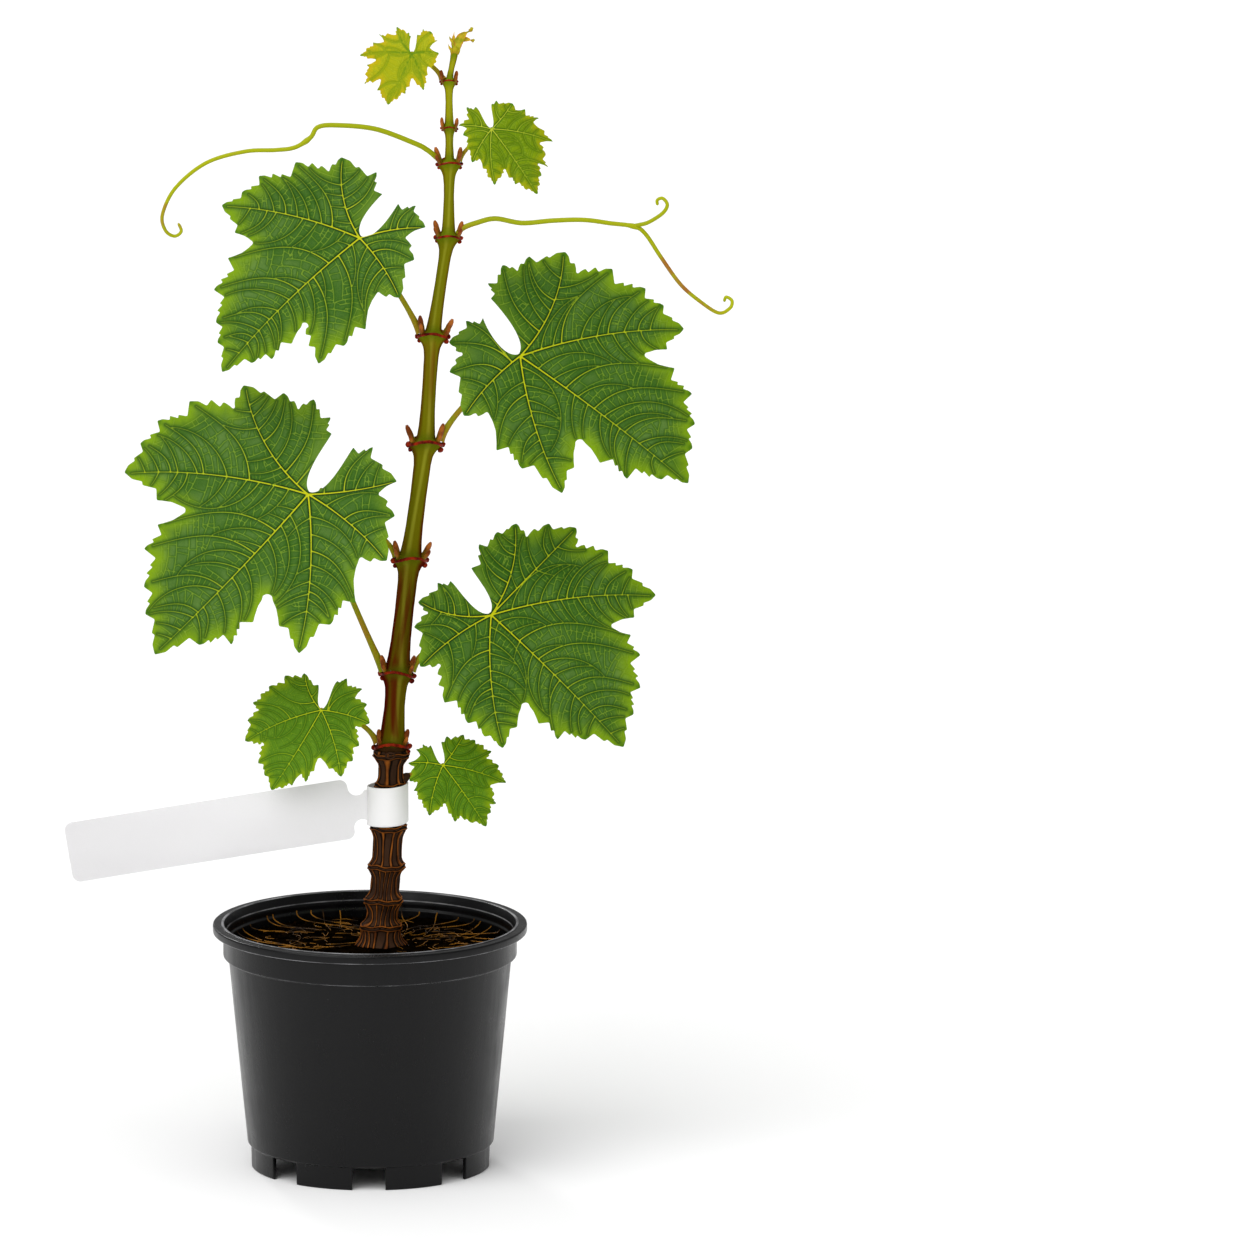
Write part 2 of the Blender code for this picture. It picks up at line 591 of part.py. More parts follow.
def blade_height(leaf, a, b, size):
    """How far the blade stands towards the viewer: tilted, domed, and waved at its edge."""
    reach = math.hypot(a, b) / size
    wave = 0.035 * size * reach * reach * math.sin(3 * math.atan2(b, a) + leaf["midrib"])
    return leaf["slope"][0] * a + leaf["slope"][1] * b - 0.16 * size * reach * reach + wave


def leaf_frame(leaf):
    """The blade's hub and its three directions. The far leaf is turned round the upright."""
    turn = Matrix.Rotation(leaf.get("turn", 0.0), 3, "Z")
    return Vector(leaf["hub"]), turn @ RIGHT, turn @ UPWARD, turn @ TOWARD


def stalk_root(leaf):
    """Where the stalk springs from: the flank of its joint, or the place that the leaf names."""
    if "root" in leaf:
        return Vector(leaf["root"])
    height, centre, ring, _ = JOINTS[leaf["joint"]]
    return Vector((centre[0] + leaf["side"] * (ring - 0.6), centre[1], height + 0.6))


def build_leaf(name, leaf, finish, clearances):
    outline = leaf_outline(leaf)
    size = max(length for _, _, length in leaf["edge"])
    hub, right, upward, toward = leaf_frame(leaf)
    pitch = size / 3.6
    reach = range(-6, 7)
    inner = [Vector(((i + 0.5 * (j % 2)) * pitch, j * pitch * 0.87)) for i in reach for j in reach]
    count = len(outline)
    ring = [(i, (i + 1) % count) for i in range(count)]
    inner = [point for point in inner if nearest(point, outline) > size * 0.07]
    flat, _, faces, _, _, _ = delaunay_2d_cdt(outline + inner, ring, [], 1, 0.001)
    rim = [i for i in range(len(flat)) if i < count]
    used = sorted({i for face in faces for i in face} | set(rim))
    mesh = bmesh.new()
    sheets = []
    for level in (BLADE / 2, -BLADE / 2):
        sheet = {}
        for i in used:
            a, b = flat[i]
            lift = blade_height(leaf, a, b, size) + level
            sheet[i] = mesh.verts.new(hub + right * a + upward * b + toward * lift)
        sheets.append(sheet)
    for face in faces:
        mesh.faces.new([sheets[0][i] for i in face])
        mesh.faces.new([sheets[1][i] for i in reversed(face)])
    for i, j in ring:
        mesh.faces.new((sheets[0][i], sheets[1][i], sheets[1][j], sheets[0][j]))
    blade = body(name, mesh, finish)

    root = stalk_root(leaf)
    run = (hub - root).length
    rise = Vector(leaf.get("rise", (0.42 * leaf["side"], 0.1, 0.9))).normalized()
    route = interpolate_bezier(
        root, root + rise * run * 0.4, hub - toward * run * 0.25 - (hub - root) * 0.12,
        hub + toward * 0.2, 10,
    )
    radius = leaf["stalk"]
    radii = [radius * (1.25 if i == 0 else 1.0 - 0.15 * i / 9) for i in range(10)]
    mesh = bmesh.new()
    loft(mesh, swept_rings(route, radii, STALK_SIDES))
    apply_boolean(blade, "UNION", [body(name + "_stalk", mesh, finish)])
    apply_boolean(blade, "DIFFERENCE", [clearance.copy() for clearance in clearances])
    return blade


def nearest(point, outline):
    """Distance from a point to the outline, negative outside it."""
    best = 1e9
    inside = False
    for start, end in zip(outline, outline[1:] + outline[:1]):
        along = end - start
        share = max(0.0, min(1.0, (point - start).dot(along) / along.length_squared))
        best = min(best, (start + along * share - point).length)
        crosses = (start.y > point.y) != (end.y > point.y)
        if crosses and point.x < start.x + (point.y - start.y) / (end.y - start.y) * along.x:
            inside = not inside
    return best if inside else -best


def tendril_mesh(points, start_radius):
    route = smooth_route(points, 4)
    last = len(route) - 1
    radii = [start_radius + (TENDRIL_TIP_RADIUS - start_radius) * i / last for i in range(last + 1)]
    mesh = bmesh.new()
    loft(mesh, swept_rings(route, radii, TENDRIL_SIDES))
    return mesh


def build_tendrils(finish, clearances):
    left = body("tendril_left", tendril_mesh(LEFT_TENDRIL, TENDRIL_ROOT_RADIUS), finish)
    right = body("tendril_right", tendril_mesh(RIGHT_TENDRIL, TENDRIL_ROOT_RADIUS), finish)
    fork = body("fork", tendril_mesh(TENDRIL_FORK, TENDRIL_ROOT_RADIUS * 0.8), finish)
    apply_boolean(right, "UNION", [fork])
    for tendril in (left, right):
        apply_boolean(tendril, "DIFFERENCE", [clearance.copy() for clearance in clearances])


def build_tip(finish):
    """The growing point: a small knob with leaflets that are still folded."""
    mesh = bmesh.new()
    knob = Vector(TIP_KNOB)
    heights = (CANE_TOP + GAP, CANE_TOP + 1.4, knob.z, knob.z + 1.2)
    loft(mesh, [
        level_ring((knob.x, knob.y), height, radius, 8)
        for height, radius in zip(heights, (1.5, 1.9, 1.8, 0.8))
    ])
    tip = body("growing_tip", mesh, finish)
    leaflets = []
    for i, (root, end, width) in enumerate(LEAFLETS):
        root, end = Vector(root), Vector(end)
        stations = ((0.0, 0.45), (0.3, 0.8), (0.6, 1.0), (0.85, 0.7), (1.0, 0.25))
        across = (end - root).cross(Vector((0.15, 1, 0))).normalized() * width / 2
        thick = (end - root).cross(across).normalized() * 0.55
        loops = []
        for share, spread in stations:
            middle = root.lerp(end, share)
            loops.append([
                middle + across * spread,
                middle + thick,
                middle - across * spread,
                middle - thick,
            ])
        mesh = bmesh.new()
        loft(mesh, loops)
        leaflets.append(body(f"leaflet_{i}", mesh, finish))
    apply_boolean(tip, "UNION", leaflets)


def rounded_strip():
    """Outline of the label's plate, from its right end, with u to the left along it and v up."""
    half = LABEL_HEIGHT / 2
    points = []
    for u, v, turn in (
        (LABEL_LENGTH - LABEL_CORNER, half - LABEL_CORNER, 0),
        (LABEL_CORNER, half - LABEL_CORNER, 90),
        (LABEL_CORNER, LABEL_CORNER - half, 180),
        (LABEL_LENGTH - LABEL_CORNER, LABEL_CORNER - half, 270),
    ):
        for step in range(5):
            angle = math.radians(turn + 22.5 * step)
            points.append((u + LABEL_CORNER * math.cos(angle), v + LABEL_CORNER * math.sin(angle)))
    return points


def build_label(finish):
    end = Vector(LABEL_END)
    along = Vector((-math.cos(LABEL_DROOP), 0, -math.sin(LABEL_DROOP)))
    up = Vector((-math.sin(LABEL_DROOP), 0, math.cos(LABEL_DROOP)))

    def sheet(name, outline):
        mesh = bmesh.new()
        loft(mesh, [
            [end + along * u + up * v + Vector((0, depth, 0)) for u, v in outline]
            for depth in (LABEL_SHEET / 2, -LABEL_SHEET / 2)
        ])
        return body(name, mesh, finish)

    label = sheet("label", rounded_strip())
    neck_half = NECK_HEIGHT / 2
    wall_middle = BAND_CENTRE[0] - BAND_RADIUS + LABEL_SHEET
    reach = (wall_middle - end.x) / math.cos(LABEL_DROOP)
    neck_slant = math.tan(LABEL_DROOP) * neck_half
    neck = sheet("neck", (
        (3, neck_half + 3), (0, neck_half + 1), (-2, neck_half), (-reach - neck_slant, neck_half),
        (neck_slant - reach, -neck_half), (-2, -neck_half), (0, -neck_half - 1), (3, -neck_half - 3),
    ))
    outer = level_ring(BAND_CENTRE, BAND_FOOT, BAND_RADIUS, BAND_SEGMENTS)
    inner = level_ring(BAND_CENTRE, BAND_FOOT, BAND_RADIUS - LABEL_SHEET, BAND_SEGMENTS)
    lift = Vector((0, 0, BAND_HEIGHT))
    loops = [outer, [p + lift for p in outer], [p + lift for p in inner], inner]
    mesh = bmesh.new()
    rings = [[mesh.verts.new(point) for point in loop] for loop in loops]
    for lower, upper in zip(rings, rings[1:] + rings[:1]):
        for i in range(BAND_SEGMENTS):
            j = (i + 1) % BAND_SEGMENTS
            mesh.faces.new((lower[i], lower[j], upper[j], upper[i]))
    band = body("band", mesh, finish)
    apply_boolean(label, "UNION", [neck, band])


def build_vine():
    for old in list(bpy.data.objects):
        bpy.data.objects.remove(old)
    pot_plastic = material("pot_plastic", (0.016, 0.016, 0.018), 0.42)
    potting_mix = material("potting_mix", (0.03, 0.018, 0.012), 0.95)
    bark = material("bark", (0.09, 0.04, 0.022), 0.8)
    green_cane = material("green_cane", (0.13, 0.16, 0.02), 0.45)
    leaf_green = material("leaf_green", (0.06, 0.18, 0.02), 0.5)
    young_leaf = material("young_leaf", (0.4, 0.42, 0.03), 0.5)
    tendril_green = material("tendril_green", (0.35, 0.42, 0.03), 0.45)
    label_plastic = material("label_plastic", (0.8, 0.8, 0.8), 0.4)

    build_pot(pot_plastic)
    build_soil(potting_mix)
    build_trunk(bark)
    build_cane(green_cane)
    clearances = [build_cane(green_cane, "cane_space", GAP), build_trunk(bark, "trunk_space", GAP)]
    for name, leaf in LEAVES.items():
        young = name.startswith("leaf_top")
        build_leaf(name, leaf, young_leaf if young else leaf_green, clearances)
    model = LEAVES[BACK_LEAF["like"]]
    edge = [(kind, bearing, length * BACK_LEAF["scale"]) for kind, bearing, length in model["edge"]]
    build_leaf("leaf_back", {**BACK_LEAF, "edge": edge}, leaf_green, clearances)
    build_tendrils(tendril_green, clearances)
    for clearance in clearances:
        bpy.data.objects.remove(clearance)
    build_tip(young_leaf)
    build_label(label_plastic)


build_vine()
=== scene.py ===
# %% [markdown]
# # A young grapevine in its nursery pot
#
# The vine stands in a round black pot: a knotted woody foot, one long green shoot with a red ring
# at every joint, nine lobed leaves, two curling tendrils and a blank white label.
# The solids come first. They fix every size and place, and each piece below is made to fit them.

# %% Load the solids
import math
import random

import bmesh
import bpy
import numpy as np
from mathutils import Matrix, Vector, noise
from mathutils.geometry import delaunay_2d_cdt, interpolate_bezier
from mathutils.kdtree import KDTree


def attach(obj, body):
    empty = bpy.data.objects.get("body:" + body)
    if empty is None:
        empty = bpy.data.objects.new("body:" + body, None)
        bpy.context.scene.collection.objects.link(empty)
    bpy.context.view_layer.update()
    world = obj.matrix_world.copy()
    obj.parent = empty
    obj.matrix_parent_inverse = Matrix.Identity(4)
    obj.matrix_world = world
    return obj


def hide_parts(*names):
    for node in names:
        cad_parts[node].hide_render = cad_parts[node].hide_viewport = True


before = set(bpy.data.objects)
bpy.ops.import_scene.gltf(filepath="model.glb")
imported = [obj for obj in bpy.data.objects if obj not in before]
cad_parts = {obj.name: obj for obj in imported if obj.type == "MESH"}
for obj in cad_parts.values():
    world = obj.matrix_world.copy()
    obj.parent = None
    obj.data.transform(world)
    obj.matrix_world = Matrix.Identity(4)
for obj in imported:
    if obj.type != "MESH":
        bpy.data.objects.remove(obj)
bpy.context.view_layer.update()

# %% [markdown]
# ## Camera
#
# A long lens from far away flattens the view, as in a catalogue picture. The camera looks down by
# a little over eleven degrees, so the pot's rim shows as a narrow ellipse. The leaves lie in planes
# square to this line of sight, so its three directions are kept for them.

# %% Set up the camera
MM = 0.001
VIEW_TILT = math.radians(11.3)
RIGHT = Vector((1, 0, 0))
UPWARD = Vector((0, math.sin(VIEW_TILT), math.cos(VIEW_TILT)))
TOWARD = Vector((0, -math.cos(VIEW_TILT), math.sin(VIEW_TILT)))
AIM = Vector((0.13488, 0, 0.28777))
EYE_DISTANCE = 8.0
LENS = 439.3


def new_object(name, data):
    """An object in the scene, with its data."""
    made = bpy.data.objects.new(name, data)
    bpy.context.scene.collection.objects.link(made)
    return made


lens = bpy.data.cameras.new("view")
lens.lens = LENS
lens.sensor_width = 36.0
eye = new_object("view", lens)
eye.location = AIM + TOWARD * EYE_DISTANCE
eye.rotation_euler = (math.pi / 2 - VIEW_TILT, 0, 0)
bpy.context.scene.camera = eye
print("camera at", [round(v, 3) for v in eye.location])

# %% [markdown]
# ## Tools for the pieces
#
# Every piece is a mesh whose place is in its own points, so its object stays at the origin.
# One helper makes a mesh from points in millimetres and hangs named numbers on its points, which
# the finishes read later. Another gives the piece to the body that it rides on.

# %% Helpers for meshes and pieces
def make_mesh(name, points, faces, finish, **numbers):
    """A smooth mesh in metres, with one number per point for each name given."""
    data = bpy.data.meshes.new(name)
    data.from_pydata((np.asarray(points, dtype=float) * MM).tolist(), [], faces)
    for key, values in numbers.items():
        layer = data.attributes.new(key, "FLOAT", "POINT")
        layer.data.foreach_set("value", np.asarray(values, dtype=np.float32))
    data.materials.append(finish)
    data.shade_smooth()
    return data


def place(name, data, slot, *nodes):
    """Puts a finished mesh in the scene as a piece, in place of the solids that it names."""
    piece = new_object(name, data)
    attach(piece, "root")
    if nodes:
        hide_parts(*nodes)
    print(f"{name}: {len(data.polygons)} faces")
    return piece


def add(tree, kind, inputs=(), **settings):
    """A node with its settings. An input is a number, an output, or a node for its first output."""
    node = tree.nodes.new(kind)
    for key, value in settings.items():
        setattr(node, key, value)
    for key, value in dict(inputs).items():
        if isinstance(value, bpy.types.Node):
            value = value.outputs[0]
        if isinstance(value, bpy.types.NodeSocket):
            tree.links.new(value, node.inputs[key])
        else:
            node.inputs[key].default_value = value
    return node


print("points are written in millimetres and kept in metres, times", MM)

# %% [markdown]
# ## Tools for the finishes
#
# A finish is a small network of nodes. The class below adds one node at a time and hands back its
# output, so that a material reads almost like a recipe. Colours are written as they look on a
# screen, from 0 to 255, and are turned into the linear values that the renderer works with.

# %% Helpers for materials
def rgb(red, green, blue):
    """A screen colour in the linear values of the renderer."""
    def linear(level):
        share = level / 255
        return share / 12.92 if share <= 0.04045 else ((share + 0.055) / 1.055) ** 2.4
    return (linear(red), linear(green), linear(blue), 1.0)


class Finish:
    """One material, with a short word for each node that it needs."""

    def __init__(self, name, roughness=0.5, specular=0.5):
        self.material = bpy.data.materials.new(name)
        self.material.use_nodes = True
        self.tree = self.material.node_tree
        self.shader = self.tree.nodes["Principled BSDF"]
        self.shader.inputs["Roughness"].default_value = roughness
        self.shader.inputs["Specular IOR Level"].default_value = specular

    def number(self, name):
        """A number that the mesh keeps on its points."""
        return add(self.tree, "ShaderNodeAttribute", attribute_name=name).outputs["Fac"]

    def coordinates(self, stretch=(1, 1, 1)):
        """The place on the object. A stretch under 1 draws a pattern out along that axis."""
        source = add(self.tree, "ShaderNodeTexCoord").outputs["Object"]
        return add(self.tree, "ShaderNodeMapping", {"Vector": source, "Scale": stretch}).outputs["Vector"]

    def noise(self, scale, detail=2.0, stretch=(1, 1, 1)):
        """Soft clouds between 0 and 1, finer with a larger scale."""
        inputs = {"Vector": self.coordinates(stretch), "Scale": scale, "Detail": detail}
        return add(self.tree, "ShaderNodeTexNoise", inputs).outputs["Fac"]

    def cells(self, scale):
        """Distance to the walls between small cells."""
        inputs = {"Vector": self.coordinates(), "Scale": scale}
        node = add(self.tree, "ShaderNodeTexVoronoi", inputs, feature="DISTANCE_TO_EDGE")
        return node.outputs["Distance"]

    def fade(self, value, start, end, low=0.0, high=1.0):
        """Goes softly from low to high as the value goes from start to end."""
        inputs = {"Value": value, "From Min": start, "From Max": end, "To Min": low, "To Max": high}
        node = add(self.tree, "ShaderNodeMapRange", inputs, interpolation_type="SMOOTHSTEP")
        return node.outputs["Result"]

    def height(self):
        """How high the place stands, in metres."""
        return add(self.tree, "ShaderNodeSeparateXYZ", {"Vector": self.coordinates()}).outputs["Z"]

    def math(self, operation, first, second):
        """One step of Blender's Math node."""
        return add(self.tree, "ShaderNodeMath", {0: first, 1: second}, operation=operation).outputs[0]

    def blend(self, share, first, second):
        """The first colour at a share of 0, the second at 1."""
        inputs = {0: share, 6: first, 7: second}
        return add(self.tree, "ShaderNodeMix", inputs, data_type="RGBA").outputs[2]

    def wash(self, base, colour, *fade):
        """The base with a colour over it, as strong as the fade of a value makes it."""
        return self.blend(self.fade(*fade), base, colour)

    def colour(self, value):
        self.tree.links.new(value, self.shader.inputs["Base Color"])

    def roughness(self, value):
        self.tree.links.new(value, self.shader.inputs["Roughness"])

    def bump(self, height, depth):
        """Lets the surface look raised where the height is large, by a depth in millimetres."""
        inputs = {"Height": height, "Distance": depth * MM}
        node = add(self.tree, "ShaderNodeBump", inputs)
        self.tree.links.new(node.outputs["Normal"], self.shader.inputs["Normal"])


print("a screen grey of 128 in linear values:", round(rgb(128, 128, 128)[0], 3))

# %% [markdown]
# ## Tools for what repeats
#
# Tendrils, stalks, buds, roots and fibres all follow a path and grow thinner along it. They are
# made by Geometry Nodes: the script gives a chain of points with a thickness at each one, and the
# tree turns it into a round tube. A second helper runs any such tree and keeps its plain mesh.

# %% Helpers for Geometry Nodes
def new_tree(name, inputs):
    """An empty tree with a named input for each number and for the finish, and its two end nodes."""
    tree = bpy.data.node_groups.new(name, "GeometryNodeTree")
    tree.interface.new_socket("Geometry", in_out="INPUT", socket_type="NodeSocketGeometry")
    for label, value in inputs.items():
        kind = "NodeSocketInt" if isinstance(value, int) else "NodeSocketFloat"
        tree.interface.new_socket(label, in_out="INPUT", socket_type=kind).default_value = value
    tree.interface.new_socket("Finish", in_out="INPUT", socket_type="NodeSocketMaterial")
    tree.interface.new_socket("Geometry", in_out="OUTPUT", socket_type="NodeSocketGeometry")
    return tree, tree.nodes.new("NodeGroupInput"), tree.nodes.new("NodeGroupOutput")


def end_tree(tree, start, end, geometry):
    """The last steps of every tree: real faces instead of instances, then the finish."""
    smooth = add(tree, "GeometryNodeSetShadeSmooth", {"Geometry": geometry})
    real = add(tree, "GeometryNodeRealizeInstances", {"Geometry": smooth})
    dressed = add(tree, "GeometryNodeSetMaterial", {"Geometry": real, "Material": start.outputs["Finish"]})
    tree.links.new(dressed.outputs[0], end.inputs[0])


def settled(holder):
    """The plain mesh that an object's modifiers make. The object itself is taken away."""
    graph = bpy.context.evaluated_depsgraph_get()
    data = bpy.data.meshes.new_from_object(holder.evaluated_get(graph), depsgraph=graph)
    bpy.data.objects.remove(holder)
    return data


def grow(name, base, tree, **values):
    """Runs a tree on a base mesh and returns what it grows as a plain mesh."""
    holder = new_object(name, base)
    modifier = holder.modifiers.new("Grow", "NODES")
    modifier.node_group = tree
    for item in tree.interface.items_tree:
        if item.in_out == "INPUT" and item.name in values:
            modifier[item.identifier] = values[item.name]
    return settled(holder)


def sweep_round(tree, curve, sides, thickness, ends=False):
    """A round tube along a curve, with or without closed ends."""
    circle = add(tree, "GeometryNodeCurvePrimitiveCircle", {"Resolution": sides, "Radius": 1.0})
    return add(tree, "GeometryNodeCurveToMesh", {
        "Curve": curve, "Profile Curve": circle, "Scale": thickness, "Fill Caps": ends,
    })


tube_tree, start, end = new_tree("tapering tube", {"Sides": 8})
chain = add(tube_tree, "GeometryNodeMeshToCurve", {"Mesh": start.outputs["Geometry"]})
thickness = add(tube_tree, "GeometryNodeInputNamedAttribute", {"Name": "thickness"}, data_type="FLOAT")
tube = sweep_round(tube_tree, chain, start.outputs["Sides"], thickness, ends=True)
end_tree(tube_tree, start, end, tube)
print("tube tree:", len(tube_tree.nodes), "nodes")


def tubes(name, routes, sides, finish):
    """A plain mesh of round tubes, one along each route of points and radii."""
    points, edges, widths, shares = [], [], [], []
    for route, radii in routes:
        first = len(points)
        points.extend(tuple(Vector(point) * MM) for point in route)
        edges.extend((first + i, first + i + 1) for i in range(len(route) - 1))
        widths.extend(radius * MM for radius in radii)
        shares.extend(i / (len(route) - 1) for i in range(len(route)))
    chains = bpy.data.meshes.new(name + "_chains")
    chains.from_pydata(points, edges, [])
    for key, values in (("thickness", widths), ("along", shares)):
        chains.attributes.new(key, "FLOAT", "POINT").data.foreach_set("value", values)
    return grow(name, chains, tube_tree, Sides=sides, Finish=finish.material)


def smooth_route(points, steps):
    """A curve through the points, with a few steps in each span."""
    knots = [Vector(point) for point in points]
    route = []
    for i in range(len(knots) - 1):
        before = knots[max(i - 1, 0)]
        start, end = knots[i], knots[i + 1]
        after = knots[min(i + 2, len(knots) - 1)]
        leaving, arriving = start + (end - before) / 6, end - (after - start) / 6
        route.extend(interpolate_bezier(start, leaving, arriving, end, steps + 1)[:-1])
    return route + [knots[-1]]

# %% [markdown]
# ## Pot
#
# The real pot is one thin moulding of black plastic: a lip with a small bead, a collar with a ledge
# on its inside, a slightly tapered body and a skirt with eight drainage slots. Along the lip and the
# foot of the collar a pale grey highlight is painted on, so its finish asks how high each place stands
# and draws a broken line at those heights.

# %% Sizes and plastic of the pot
POT_HEIGHT = 130.0
RIM_RADIUS = 82.5
RIM_INNER_RADIUS = 76.7
LIP_FOOT = 124.8
COLLAR_RADIUS = 77.1
COLLAR_FOOT = 111.8
BODY_TOP_RADIUS = 74.3
BODY_FOOT_RADIUS = 64.7
SKIRT_HEIGHT = 12.0
SKIRT_RADIUS = 63.0
WALL = 2.0
BOSS_RADIUS = 10.0
BEAD = 1.3
LEDGE = 0.9
LEDGE_HEIGHT = 120.4
PANEL_FOOT = 12.3
DRAIN_SLOTS = 8
SLOT_WIDTH = 17.4
# Heights of the painted highlight lines on the lip and the collar.
HIGHLIGHT_LINE_HEIGHTS = (POT_HEIGHT, LIP_FOOT + 0.5, COLLAR_FOOT + 0.5)

plastic = Finish("pot_plastic", roughness=0.34, specular=0.21)
mottle = plastic.noise(55, 4)
drag = plastic.noise(30, 3, stretch=(6, 6, 0.4))
level = plastic.height()
painted_highlight = 0.0
# Painted highlight: pale grey broken lines at these heights stand in for the gleam along the lip and collar.
for edge in HIGHLIGHT_LINE_HEIGHTS:
    off_edge = plastic.math("ABSOLUTE", plastic.math("SUBTRACT", level, edge * MM), 0.0)
    painted_highlight = plastic.math("MAXIMUM", painted_highlight, plastic.fade(off_edge, 0.1 * MM, 0.45 * MM, 1.0, 0.0))
painted_highlight = plastic.math("MULTIPLY", painted_highlight, plastic.fade(plastic.noise(60, 3), 0.35, 0.65, 0.25, 1.0))
moulded = plastic.blend(mottle, rgb(5, 5, 6), rgb(10, 10, 11))
plastic.colour(plastic.blend(painted_highlight, moulded, rgb(148, 148, 151)))
plastic.roughness(plastic.fade(plastic.math("MULTIPLY", mottle, drag), 0.1, 0.45, 0.26, 0.4))
plastic.bump(plastic.math("ADD", plastic.noise(900, 2), drag), 0.05)
print("pot plastic:", len(plastic.tree.nodes), "nodes")

# %% [markdown]
# ### Wall of the pot
#
# The profile is drawn once, from the middle of the base round to the middle of the floor. Its
# corners are rounded as a mould leaves them, and it is spun about the upright axis.

# %% Spin the pot
POT_STEPS = 160
MOULD_CORNER = 0.9


def eased(profile, radius):
    """The profile with each corner turned into a small arc of four points."""
    points = [Vector(profile[0])]
    for before, corner, after in zip(profile, profile[1:], profile[2:]):
        corner = Vector(corner)
        back, ahead = Vector(before) - corner, Vector(after) - corner
        cut = min(radius, back.length * 0.45, ahead.length * 0.45)
        start, end = corner + back.normalized() * cut, corner + ahead.normalized() * cut
        for share in (0, 0.33, 0.67, 1):
            points.append(start.lerp(corner, share).lerp(corner.lerp(end, share), share))
    return points + [Vector(profile[-1])]


def spin(name, profile, steps, finish):
    """A profile of (radius, height) turned once about the upright axis."""
    mesh = bmesh.new()
    line = [mesh.verts.new((radius * MM, 0, height * MM)) for radius, height in profile]
    edges = [mesh.edges.new(pair) for pair in zip(line, line[1:])]
    bmesh.ops.spin(
        mesh, geom=line + edges, cent=(0, 0, 0), axis=(0, 0, 1), angle=2 * math.pi, steps=steps,
        use_merge=True,
    )
    bmesh.ops.remove_doubles(mesh, verts=mesh.verts, dist=1e-6)
    bmesh.ops.recalc_face_normals(mesh, faces=mesh.faces)
    data = bpy.data.meshes.new(name)
    mesh.to_mesh(data)
    mesh.free()
    data.materials.append(finish)
    data.shade_smooth()
    return data


pot_profile = eased((
    (0, 0),
    (BOSS_RADIUS, 0),
    (BOSS_RADIUS, PANEL_FOOT),
    (SKIRT_RADIUS - WALL, PANEL_FOOT),
    (SKIRT_RADIUS - WALL, 0),
    (SKIRT_RADIUS, 0),
    (SKIRT_RADIUS + 0.3, SKIRT_HEIGHT),
    (BODY_FOOT_RADIUS, SKIRT_HEIGHT + 0.8),
    (BODY_TOP_RADIUS, COLLAR_FOOT),
    (COLLAR_RADIUS, COLLAR_FOOT + 0.8),
    (COLLAR_RADIUS, LIP_FOOT),
    (RIM_RADIUS, LIP_FOOT + 0.4),
    (RIM_RADIUS, POT_HEIGHT - 0.5),
    (RIM_INNER_RADIUS + BEAD, POT_HEIGHT - 0.5),
    (RIM_INNER_RADIUS + BEAD, POT_HEIGHT),
    (RIM_INNER_RADIUS, POT_HEIGHT),
    (COLLAR_RADIUS - WALL, LIP_FOOT - 1),
    (COLLAR_RADIUS - WALL, LEDGE_HEIGHT + 0.8),
    (COLLAR_RADIUS - WALL - LEDGE, LEDGE_HEIGHT),
    (COLLAR_RADIUS - WALL - LEDGE, COLLAR_FOOT + 2),
    (BODY_TOP_RADIUS - WALL, COLLAR_FOOT - 1),
    (BODY_FOOT_RADIUS - WALL, PANEL_FOOT + WALL),
    (0, PANEL_FOOT + WALL),
), MOULD_CORNER)
shell = new_object("shell", spin("pot_shell", pot_profile, POT_STEPS, plastic.material))
print("pot profile:", len(pot_profile), "points")

# %% [markdown]
# ### Drainage slots
#
# The slots run through the skirt and into the base. They cross the wall at an angle that a spin
# can't follow, so eight blocks are taken away with a Boolean, and a small bevel eases every edge.

# %% Cut the drainage slots
CUT_DEPTH = 12.0
CUT_BELOW = 2.0
EDGE_BEVEL = 0.35

slots = bmesh.new()
for i in range(DRAIN_SLOTS):
    size = Matrix.Diagonal((CUT_DEPTH * MM, SLOT_WIDTH * MM, (SKIRT_HEIGHT + CUT_BELOW) * MM, 1))
    turn = Matrix.Rotation(math.radians(-90 + 360 * i / DRAIN_SLOTS), 4, "Z")
    out = Matrix.Translation((SKIRT_RADIUS * MM, 0, (SKIRT_HEIGHT - CUT_BELOW) / 2 * MM))
    bmesh.ops.create_cube(slots, size=1, matrix=turn @ out @ size)
slot_data = bpy.data.meshes.new("slots")
slots.to_mesh(slot_data)
slots.free()
cutter = new_object("slots", slot_data)
cut = shell.modifiers.new("Slots", "BOOLEAN")
cut.operation = "DIFFERENCE"
cut.object = cutter
ease = shell.modifiers.new("Ease", "BEVEL")
ease.width = EDGE_BEVEL * MM
ease.segments = 2
ease.limit_method = "ANGLE"
ease.angle_limit = math.radians(50)
pot_data = settled(shell)
bpy.data.objects.remove(cutter)
pot_data.set_sharp_from_angle(angle=math.radians(40))
place("pot_shell", pot_data, "pot_plastic", "pot")

# %% [markdown]
# ## Potting mix
#
# The mix is dark composted bark, held together by a web of fine golden roots. The ground is a disc
# whose points are lifted by noise. Crumbs and roots are scattered over it by two trees: one drops
# small chips, and the other lays bent threads down and turns them into tubes.

# %% Ground of the mix
SOIL_TOP = 118.3
SOIL_HOLLOW = 2.2
SOIL_RADIUS = 74.6
SOIL_SLOPE = 20.0
CRUMB_HEIGHT = 0.9
FOOT_X = 5.5
FOOT_RADIUS = 13.2
SOIL_RINGS = 110
SOIL_SPOKES = 280


